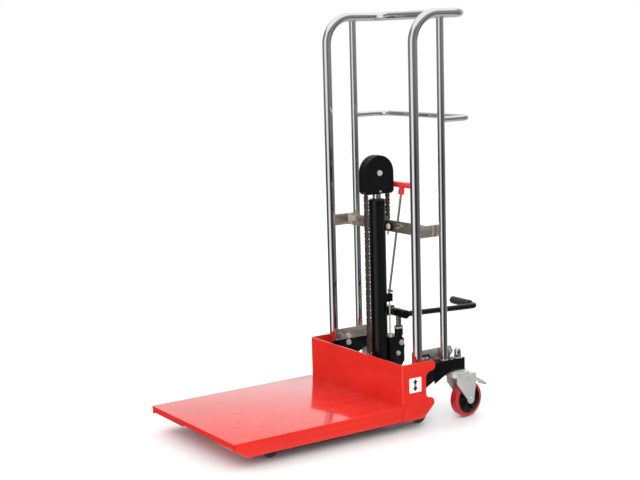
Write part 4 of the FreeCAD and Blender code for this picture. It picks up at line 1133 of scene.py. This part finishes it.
def foot_pedal():
    """Pin, crank and ribbed grip of the foot pedal."""
    low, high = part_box("pedal_pin")
    centre = middle("pedal_pin")
    length = high.x - low.x
    bm = lathe(bmesh.new(), [(0, 7 * MM), (0.8 * MM, 8 * MM), (length - 4 * MM, 8 * MM),
                             (length - 4 * MM, 11.2 * MM),
                             (length - 3.2 * MM, 12 * MM), (length - 0.8 * MM, 12 * MM),
                             (length, 11.2 * MM),
                             (length, 0)], (low.x, centre.y, centre.z), (1, 0, 0), 40)
    piece("pedal_pivot", bm, black_paint(), "frame", ("pedal_pin",))
    refined("pedal_crank", black_paint(), "foot_pedal")
    low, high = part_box("pedal_grip")
    centre = middle("pedal_grip")
    r = (high.z - low.z) / 2
    length = high.x - low.x
    profile = [(0, 0), (0, r - 3.4 * MM), (0.6 * MM, r - 2.0 * MM), (1.6 * MM, r - 1.2 * MM)]
    at = 4 * MM
    while at < length - 9 * MM:
        pitch = sizes().rib_pitch
        profile += [(at, r - 1.3 * MM), (at + pitch * 0.18, r - 0.2 * MM), (at + pitch * 0.34, r),
                    (at + pitch * 0.56, r), (at + pitch * 0.72, r - 0.2 * MM),
                    (at + pitch * 0.9, r - 1.3 * MM)]
        at += pitch
    profile += [(length - 5 * MM, r - 0.3 * MM), (length - 4 * MM, r), (length - 0.8 * MM, r),
                (length, r - 0.9 * MM), (length, 10.2 * MM)]
    bm = lathe(bmesh.new(), profile, (low.x, centre.y, centre.z), (1, 0, 0), 56)
    piece("ribbed_grip", bm, rubber(), "foot_pedal", ("pedal_grip",))


def release():
    """Release rod with its collar and cross pin, and the moulded T-handle."""
    way = -Vector(joint("release_turn")["axis"])
    foot = Vector(joint("release_turn")["pos_m"])
    length = 362 * MM
    bm = lathe(bmesh.new(), [(-20 * MM, 3.4 * MM), (-19.4 * MM, 4 * MM), (0, 4 * MM), (0, 6.4 * MM),
                             (0.6 * MM, 7 * MM),
                             (7.4 * MM, 7 * MM), (8 * MM, 6.4 * MM), (8 * MM, 4 * MM), (length, 4 * MM)],
               foot, way, 28)
    pin_at = foot + way * 4 * MM
    lathe(bm, mm((0, 2.5), (16, 2.5), (16, 4.2), (18, 4.2), (18.6, 3.4)),
          pin_at - Vector((3 * MM, 0, 0)), (1, 0, 0), 20)
    piece("release_bar", bm, turned_steel(), "release", ("release_rod",))
    turn = math.radians(28)
    across = Vector((math.cos(turn), math.sin(turn), 0))
    across = (across - way * across.dot(way)).normalized()
    centre = foot + way * (length + 14 * MM)
    half = 45 * MM
    r = 10.2 * MM
    profile = [(-half, 0), (-half, r - 5 * MM)]
    profile += [(-half + 5 * MM * (1 - math.cos(a)), r - 5 * MM + 5 * MM * math.sin(a))
                for a in (math.radians(15 * k) for k in range(1, 7))]
    profile += [(-half + 14 * MM, r), (-6 * MM, r * 0.94), (0, r * 0.93)]
    profile += [(-h, radius) for h, radius in reversed(profile[:-1])]
    bm = lathe(bmesh.new(), profile, centre, across, 40)
    lathe(bm, [(length - 20 * MM, 9.6 * MM), (length - 19 * MM, 10.8 * MM), (length - 6 * MM, 10.8 * MM),
               (length - 4 * MM, 9.8 * MM), (length + 2 * MM, 9.4 * MM), (length + 9 * MM, 10.0 * MM),
               (length + 13 * MM, 10.0 * MM)], foot, way, 40)
    for k in range(4):
        a = math.pi / 4 + k * math.pi / 2
        out = (across * math.cos(a) + way.cross(across) * math.sin(a)) * 9.4 * MM
        sweep(bm, [foot + way * (length - 16 * MM) + out, foot + way * (length - 9 * MM) + out], 1.0 * MM,
              sides=8)
    piece("release_grip", bm, handle_plastic(), "release", ("release_handle",))


# ---------------------------------------------------------------------------------------------
# Casters
# ---------------------------------------------------------------------------------------------
def caster_frame(side):
    """Wheel centre, and the caster's own axes: across (wheel axis) and back (trail)."""
    wheel = Vector(joint(f"caster_wheel_{side}_spin")["pos_m"])
    across = Vector(joint(f"caster_wheel_{side}_spin")["axis"])
    return wheel, across, Vector((0, 0, 1)).cross(across)


def casters():
    """Swivel casters: race, stem nut, fork, tyre, core and brake pedal."""
    for side in SIDES:
        wheel, across, back = caster_frame(side)
        refined("caster_fork_" + side, zinc(), "caster_" + side, 0.0012, segments=3)
        refined("caster_brake_" + side, zinc(), "caster_brake_" + side)
        caster_wheel(side, wheel, across)
        axle_nuts(side, wheel, across)
        brake_pad(side, across, back)
    mounts()


def caster_wheel(side, wheel, across):
    """Cast tread with rounded shoulders on a moulded core with webs, hub and bearing caps."""
    body = "caster_wheel_" + side
    half, rim, core = 17 * MM, 62.5 * MM, 50 * MM
    outline = [(-half + 1 * MM, core - 0.2 * MM), (-half, core + 1.2 * MM), (-half, rim - 7 * MM)]
    outline += [(-half + 7 * MM * (1 - math.cos(a)), rim - 7 * MM + 6.4 * MM * math.sin(a))
                for a in (math.radians(10 * k) for k in range(1, 10))]
    outline += [(-half + 12 * MM, rim - 0.1 * MM), (0, rim)]
    outline += [(-h, r) for h, r in reversed(outline[:-1])]
    bm = ring_of(outline, wheel, across, 96)
    piece("tread_" + side, bm, tread(), body, ("caster_tyre_" + side,))
    outline = [(-half + 1.2 * MM, 46 * MM), (-half + 0.4 * MM, 47 * MM),
               (-half + 0.4 * MM, core - 0.6 * MM),
               (-half + 1.0 * MM, core), (half - 1.0 * MM, core), (half - 0.4 * MM, core - 0.6 * MM),
               (half - 0.4 * MM, 47 * MM), (half - 1.2 * MM, 46 * MM), (5 * MM, 43.5 * MM),
               (4 * MM, 42 * MM),
               (4 * MM, 19 * MM), (6 * MM, 17 * MM), (20.6 * MM, 15.6 * MM), (21.4 * MM, 14.8 * MM),
               (21.4 * MM, 6.06 * MM), (-21.4 * MM, 6.06 * MM), (-21.4 * MM, 14.8 * MM),
               (-20.6 * MM, 15.6 * MM),
               (-6 * MM, 17 * MM), (-4 * MM, 19 * MM), (-4 * MM, 42 * MM), (-5 * MM, 43.5 * MM)]
    bm = ring_of(outline, wheel, across, 96)
    turn = frame_along(across)
    for k in range(6):
        a = 2 * math.pi * k / 6
        out = turn @ Vector((math.cos(a), math.sin(a), 0))
        side_way = turn @ Vector((-math.sin(a), math.cos(a), 0))
        for way in (-1, 1):
            rib(bm, wheel + across * way * 3.8 * MM, out, side_way, across * way, 15 * MM, 45 * MM, 4 * MM,
                9.5 * MM)
    piece("core_" + side, bm, core_plastic(), body, ("caster_core_" + side,))
    bm = bmesh.new()
    for way in (-1, 1):
        ring = mm((0, 7), (0, 12.4), (0.5, 12.8), (0.5, 13.4), (0.2, 13.8), (-0.4, 13.8), (-0.4, 7))
        part = ring_of([(h * 0.4, r) for h, r in ring], wheel + across * way * 21.2 * MM, across * way, 40)
        mesh = bpy.data.meshes.new("cap")
        part.to_mesh(mesh)
        bm.from_mesh(mesh)
        bpy.data.meshes.remove(mesh)
        part.free()
    piece("bearing_caps_" + side, bm, zinc(), body)


def ring_of(outline, place, axis, steps):
    """Turns a closed outline of (height, radius) points into a ring."""
    bm = bmesh.new()
    turn = frame_along(axis)
    rings = [[bm.verts.new(Vector(place) + turn @ Vector((r * math.cos(2 * math.pi * i / steps),
                                                          r * math.sin(2 * math.pi * i / steps), h)))
              for i in range(steps)] for h, r in outline]
    for k, ring in enumerate(rings):
        after = rings[(k + 1) % len(rings)]
        for i in range(steps):
            j = (i + 1) % steps
            bm.faces.new((ring[i], ring[j], after[j], after[i]))
    return bm


def rib(bm, foot, out, side_way, up, inner, outer, thick, tall):
    """A web between hub and rim, lower towards the rim."""
    corners = []
    for along, height in ((inner, tall), (outer, tall * 0.72)):
        for way in (-1, 1):
            corners.append((foot + out * along + side_way * way * thick / 2, height))
    base = [bm.verts.new(p) for p, _ in corners]
    top = [bm.verts.new(p + up * h - side_way * (0.6 * MM if i % 2 else -0.6 * MM))
           for i, (p, h) in enumerate(corners)]
    for a, b in ((0, 1), (1, 3), (3, 2), (2, 0)):
        bm.faces.new((base[a], base[b], top[b], top[a]))
    bm.faces.new((top[0], top[1], top[3], top[2]))
    bm.faces.new((base[0], base[2], base[3], base[1]))


def axle_nuts(side, wheel, across):
    """Rounded ends and washers of a caster's axle bolt."""
    bm = bmesh.new()
    for way in (-1, 1):
        base = wheel + across * way * 32 * MM
        lathe(bm, mm((0, 5.8), (0.8, 5), (0.8, 0)), base, across * way, 24)
        washer(bm, 12 * MM, 0.5 * MM, wheel + across * way * 26 * MM, across * way)
    piece("axle_ends_" + side, bm, zinc(), "caster_" + side)


def brake_pad(side, across, back):
    """Ribbed tread on the brake pedal."""
    pivot = Vector(joint(f"caster_brake_{side}_press")["pos_m"])
    bm = bmesh.new()
    for k in range(4):
        along = 34 + 6.5 * k
        drop = -(along - 4) * 0.545 + 3.4
        centre = pivot + back * along * MM + Vector((0, 0, drop * MM))
        sweep(bm, [centre - across * 15 * MM, centre + across * 15 * MM], 1.1 * MM, sides=8)
    piece("brake_ribs_" + side, bm, zinc(), "caster_brake_" + side)


def mounts():
    """Upper races with a dust lip, and domed nuts on washers."""
    low_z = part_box("caster_mounts")[0].z
    tall = 172 * MM - low_z
    arm_top = 213 * MM
    bm = bmesh.new()
    nuts = bmesh.new()
    for side in SIDES:
        stem = Vector(joint(f"caster_{side}_swivel")["pos_m"])
        lathe(bm, [(0.2 * MM, 30 * MM), (0, 39 * MM), (0.8 * MM, 40 * MM), (3.2 * MM, 40 * MM),
                   (5.4 * MM, 38.5 * MM),
                   (tall - 1.2 * MM, 27 * MM), (tall, 26 * MM), (tall, 8.1 * MM)],
              (stem.x, stem.y, low_z), (0, 0, 1), 64)
        washer(nuts, 17 * MM, 1.6 * MM, (stem.x, stem.y, arm_top), (0, 0, 1))
        hexagon(nuts, 24 * MM, 12 * MM, (stem.x, stem.y, arm_top + 1.6 * MM), (0, 0, 1), 0.35, 0.08)
        r = 11.9 * MM
        dome = [(12.5 * MM, r * 0.98), (14.5 * MM, r)]
        dome += [(23 * MM + 13.6 * MM * math.sin(a), r * math.cos(a))
                 for a in (math.radians(9 * k) for k in range(10))]
        dome.append((36.7 * MM, 0))
        lathe(nuts, dome, (stem.x, stem.y, arm_top), (0, 0, 1), 40)
    piece("caster_races", bm, zinc(), "frame", ("caster_mounts",))
    piece("domed_nuts", nuts, chrome(), "frame")


# ---------------------------------------------------------------------------------------------
# Stage
# ---------------------------------------------------------------------------------------------
def studio():
    """Pale floor, soft lights, a white room with dark flags for the chrome, and the camera."""
    props = bpy.context.scene.stacker_studio
    floor_mesh = bpy.data.meshes.new("studio_floor")
    reach = 14.0
    floor_mesh.from_pydata([(-reach, -reach, -0.0002), (reach, -reach, -0.0002), (reach, reach, -0.0002),
                            (-reach, reach, -0.0002)], [], [(0, 1, 2, 3)])
    floor = bpy.data.objects.new("studio_floor", floor_mesh)
    bpy.context.scene.collection.objects.link(floor)

    def floor_finish(t, shader):
        cloud = t.noise(t.place(), 2.0, 3.0)
        tint = list(props.floor)
        base = t.mix(cloud, tint, [c * 0.985 for c in tint[:3]] + [1])
        wire(t, shader, base, 0.6)
        shader.inputs["Specular IOR Level"].default_value = 0.15

    floor_mesh.materials.append(finish_of("studio_floor_finish", floor_finish))
    floor.visible_glossy = False
    bpy.context.scene.view_settings.view_transform = "Standard"
    lights = ((4.2, -2.2, 3.6, 2.2, 60), (-2.6, -3.4, 3.2, 2.4, 40), (-1.5, 3.6, 3.4, 2.6, 40))
    for index, (x, y, z, width, power) in enumerate(lights):
        data = bpy.data.lights.new(f"soft_light_{index + 1}", "AREA")
        data.shape = "RECTANGLE"
        data.size = width
        data.size_y = width * 1.2
        data.energy = power * props.light
        lamp = bpy.data.objects.new(data.name, data)
        lamp.location = (x, y, z)
        lamp.visible_glossy = False
        lamp.rotation_euler = (Vector((0, 0, 0.6)) - lamp.location).to_track_quat("-Z", "Y").to_euler()
        bpy.context.scene.collection.objects.link(lamp)
    room()
    camera_at(props)


def room():
    """Surroundings: white behind and overhead, with dark flags that draw lines in the chrome."""
    world = bpy.data.worlds.new("studio_room")
    world.use_nodes = True
    bpy.context.scene.world = world
    t = Tree(world.node_tree.nodes, world.node_tree.links)
    shader = world.node_tree.nodes["Background"]
    way = t.add("ShaderNodeTexCoord").outputs["Generated"]
    parts = t.add("ShaderNodeSeparateXYZ", {0: way}).outputs
    turn = t.math("ARCTAN2", parts[1], parts[0])
    share_round = t.remap(turn, -math.pi, math.pi)
    ramp = t.add("ShaderNodeValToRGB", {0: share_round})
    stops = ((0.0, 0.35), (0.044, 0.06), (0.197, 0.05), (0.233, 0.8), (0.294, 1.0), (0.349, 0.7),
             (0.388, 0.05),
             (0.461, 0.02), (0.53, 0.08), (0.586, 0.14), (0.683, 0.12), (0.752, 0.25), (0.822, 0.9),
             (0.905, 1.0),
             (0.974, 0.6), (1.0, 0.35))
    while len(ramp.color_ramp.elements) < len(stops):
        ramp.color_ramp.elements.new(0.5)
    for element, (place, tone) in zip(ramp.color_ramp.elements, stops):
        element.position = place
        element.color = (tone, tone, tone, 1)
    hazy = t.mix(t.math("MULTIPLY", t.remap(parts[2], -0.09, -0.01), 0.14), ramp.outputs[0], (1, 1, 1, 1))
    overhead = t.mix(t.remap(parts[2], 0.5, 0.75), hazy, (1, 1, 1, 1))
    below = t.mix(t.remap(parts[2], -0.35, -0.6), overhead, (0.5, 0.5, 0.5, 1))
    path = t.add("ShaderNodeLightPath").outputs
    t.links.new(t.mix(path["Is Glossy Ray"], (1, 1, 1, 1), below), shader.inputs[0])
    t.links.new(t.math("ADD", 1.0, t.math("MULTIPLY", path["Is Diffuse Ray"], 0.22)), shader.inputs[1])


def camera_at(props):
    """The camera, from its turn, pitch, roll, lens and place."""
    a, e, roll = props.azimuth, props.pitch, props.roll
    right = Vector((math.cos(a), math.sin(a), 0))
    up = Vector((-math.sin(a) * math.sin(e), math.cos(a) * math.sin(e), math.cos(e)))
    tilted_right = right * math.cos(roll) + up * math.sin(roll)
    tilted_up = up * math.cos(roll) - right * math.sin(roll)
    back = tilted_right.cross(tilted_up)
    data = bpy.data.cameras.new("studio_camera")
    data.sensor_width = 36
    data.lens = props.lens
    data.clip_end = 60
    camera = bpy.data.objects.new("studio_camera", data)
    turn = Matrix((tilted_right, tilted_up, back)).transposed().to_4x4()
    camera.matrix_world = Matrix.Translation(Vector(props.place)) @ turn
    bpy.context.scene.collection.objects.link(camera)
    bpy.context.scene.camera = camera


# ---------------------------------------------------------------------------------------------
# Operators, panel and main
# ---------------------------------------------------------------------------------------------
class STACKER_OT_mast_tubes(bpy.types.Operator):
    """Bow with front posts, rear posts and guard rail, with weld beads where they meet."""
    bl_idname = "stacker.mast_tubes"
    bl_label = "Mast Tubes"

    def execute(self, context):
        mast_tubes()
        return {"FINISHED"}


class STACKER_OT_braces(bpy.types.Operator):
    """Mid brace and lower brace plates, and the beads that hold them to the posts."""
    bl_idname = "stacker.braces"
    bl_label = "Braces"

    def execute(self, context):
        braces()
        return {"FINISHED"}


class STACKER_OT_fasteners(bpy.types.Operator):
    """Bolts of the braces and of the cylinder lug, with washers and threads."""
    bl_idname = "stacker.fasteners"
    bl_label = "Fasteners"

    def execute(self, context):
        fasteners()
        return {"FINISHED"}


class STACKER_OT_base(bpy.types.Operator):
    """Side arms, legs and base beam, with their axles."""
    bl_idname = "stacker.base"
    bl_label = "Base"

    def execute(self, context):
        base()
        return {"FINISHED"}


class STACKER_OT_floor_rollers(bpy.types.Operator):
    """Nylon rollers with a bearing seat at each side."""
    bl_idname = "stacker.floor_rollers"
    bl_label = "Floor Rollers"

    def execute(self, context):
        floor_rollers()
        return {"FINISHED"}


class STACKER_OT_carriage(bpy.types.Operator):
    """Panel, forks, platform, axles and the front chain anchor."""
    bl_idname = "stacker.carriage"
    bl_label = "Carriage"

    def execute(self, context):
        carriage()
        return {"FINISHED"}


class STACKER_OT_guide_rollers(bpy.types.Operator):
    """Grooved rollers that run on the front posts."""
    bl_idname = "stacker.guide_rollers"
    bl_label = "Guide Rollers"

    def execute(self, context):
        guide_rollers()
        return {"FINISHED"}


class STACKER_OT_side_label(bpy.types.Operator):
    """Plain label on the side plate: a white card with two arrows for up and down."""
    bl_idname = "stacker.side_label"
    bl_label = "Side Label"

    def execute(self, context):
        label()
        return {"FINISHED"}


class STACKER_OT_lift_cylinder(bpy.types.Operator):
    """Barrel with its blocks, head nut with wiper ring, and the chromed piston rod."""
    bl_idname = "stacker.lift_cylinder"
    bl_label = "Lift Cylinder"

    def execute(self, context):
        lift_cylinder()
        return {"FINISHED"}


class STACKER_OT_chain(bpy.types.Operator):
    """The lifting chain: front strand, arc over the wheel, and rear strand."""
    bl_idname = "stacker.chain"
    bl_label = "Lifting Chain"

    def execute(self, context):
        chain()
        return {"FINISHED"}


class STACKER_OT_chain_cover(bpy.types.Operator):
    """Two cover shells with their seam, the yoke, the wheel and its axle."""
    bl_idname = "stacker.chain_cover"
    bl_label = "Chain Cover"

    def execute(self, context):
        chain_cover()
        return {"FINISHED"}


class STACKER_OT_pump(bpy.types.Operator):
    """Cast valve block, its plugs and return spring, and the plunger."""
    bl_idname = "stacker.pump"
    bl_label = "Pump"

    def execute(self, context):
        pump()
        return {"FINISHED"}


class STACKER_OT_foot_pedal(bpy.types.Operator):
    """Pin, crank and ribbed grip of the foot pedal."""
    bl_idname = "stacker.foot_pedal"
    bl_label = "Foot Pedal"

    def execute(self, context):
        foot_pedal()
        return {"FINISHED"}


class STACKER_OT_release(bpy.types.Operator):
    """Release rod with its collar and cross pin, and the moulded T-handle."""
    bl_idname = "stacker.release"
    bl_label = "Release Handle"

    def execute(self, context):
        release()
        return {"FINISHED"}


class STACKER_OT_casters(bpy.types.Operator):
    """Swivel casters: race, stem nut, fork, tyre, core and brake pedal."""
    bl_idname = "stacker.casters"
    bl_label = "Casters"

    def execute(self, context):
        casters()
        return {"FINISHED"}


class STACKER_OT_studio(bpy.types.Operator):
    """Pale floor, soft lights, a white room with dark flags for the chrome, and the camera."""
    bl_idname = "stacker.studio"
    bl_label = "Studio"

    def execute(self, context):
        studio()
        return {"FINISHED"}


OPERATORS = (
    STACKER_OT_mast_tubes, STACKER_OT_braces, STACKER_OT_fasteners, STACKER_OT_base,
    STACKER_OT_floor_rollers, STACKER_OT_carriage, STACKER_OT_guide_rollers, STACKER_OT_side_label,
    STACKER_OT_lift_cylinder, STACKER_OT_chain, STACKER_OT_chain_cover, STACKER_OT_pump,
    STACKER_OT_foot_pedal, STACKER_OT_release, STACKER_OT_casters, STACKER_OT_studio,
)


class STACKER_PT_panel(bpy.types.Panel):
    """Lists the building steps and the settings they use."""
    bl_label = "Platform Stacker"
    bl_idname = "STACKER_PT_panel"
    bl_space_type = "VIEW_3D"
    bl_region_type = "UI"
    bl_category = "Stacker"

    def draw(self, context):
        column = self.layout.column(align=True)
        for step in OPERATORS:
            column.operator(step.bl_idname, text=step.bl_label)
        for group in (context.scene.stacker_colours, context.scene.stacker_sizes,
                      context.scene.stacker_studio):
            box = self.layout.box()
            for name in group.bl_rna.properties.keys():
                if name not in ("rna_type", "name"):
                    box.prop(group, name)


CLASSES = [StackerColours, StackerSizes, StackerStudio, *OPERATORS, STACKER_PT_panel]


def register():
    for cls in CLASSES:
        bpy.utils.register_class(cls)
    bpy.types.Scene.stacker_colours = bpy.props.PointerProperty(type=StackerColours)
    bpy.types.Scene.stacker_sizes = bpy.props.PointerProperty(type=StackerSizes)
    bpy.types.Scene.stacker_studio = bpy.props.PointerProperty(type=StackerStudio)


def unregister():
    del bpy.types.Scene.stacker_studio
    del bpy.types.Scene.stacker_sizes
    del bpy.types.Scene.stacker_colours
    for cls in reversed(CLASSES):
        bpy.utils.unregister_class(cls)


def main():
    register()
    for step in OPERATORS:
        getattr(bpy.ops.stacker, step.bl_idname.split(".")[1])()


if __name__ == "__main__":
    main()
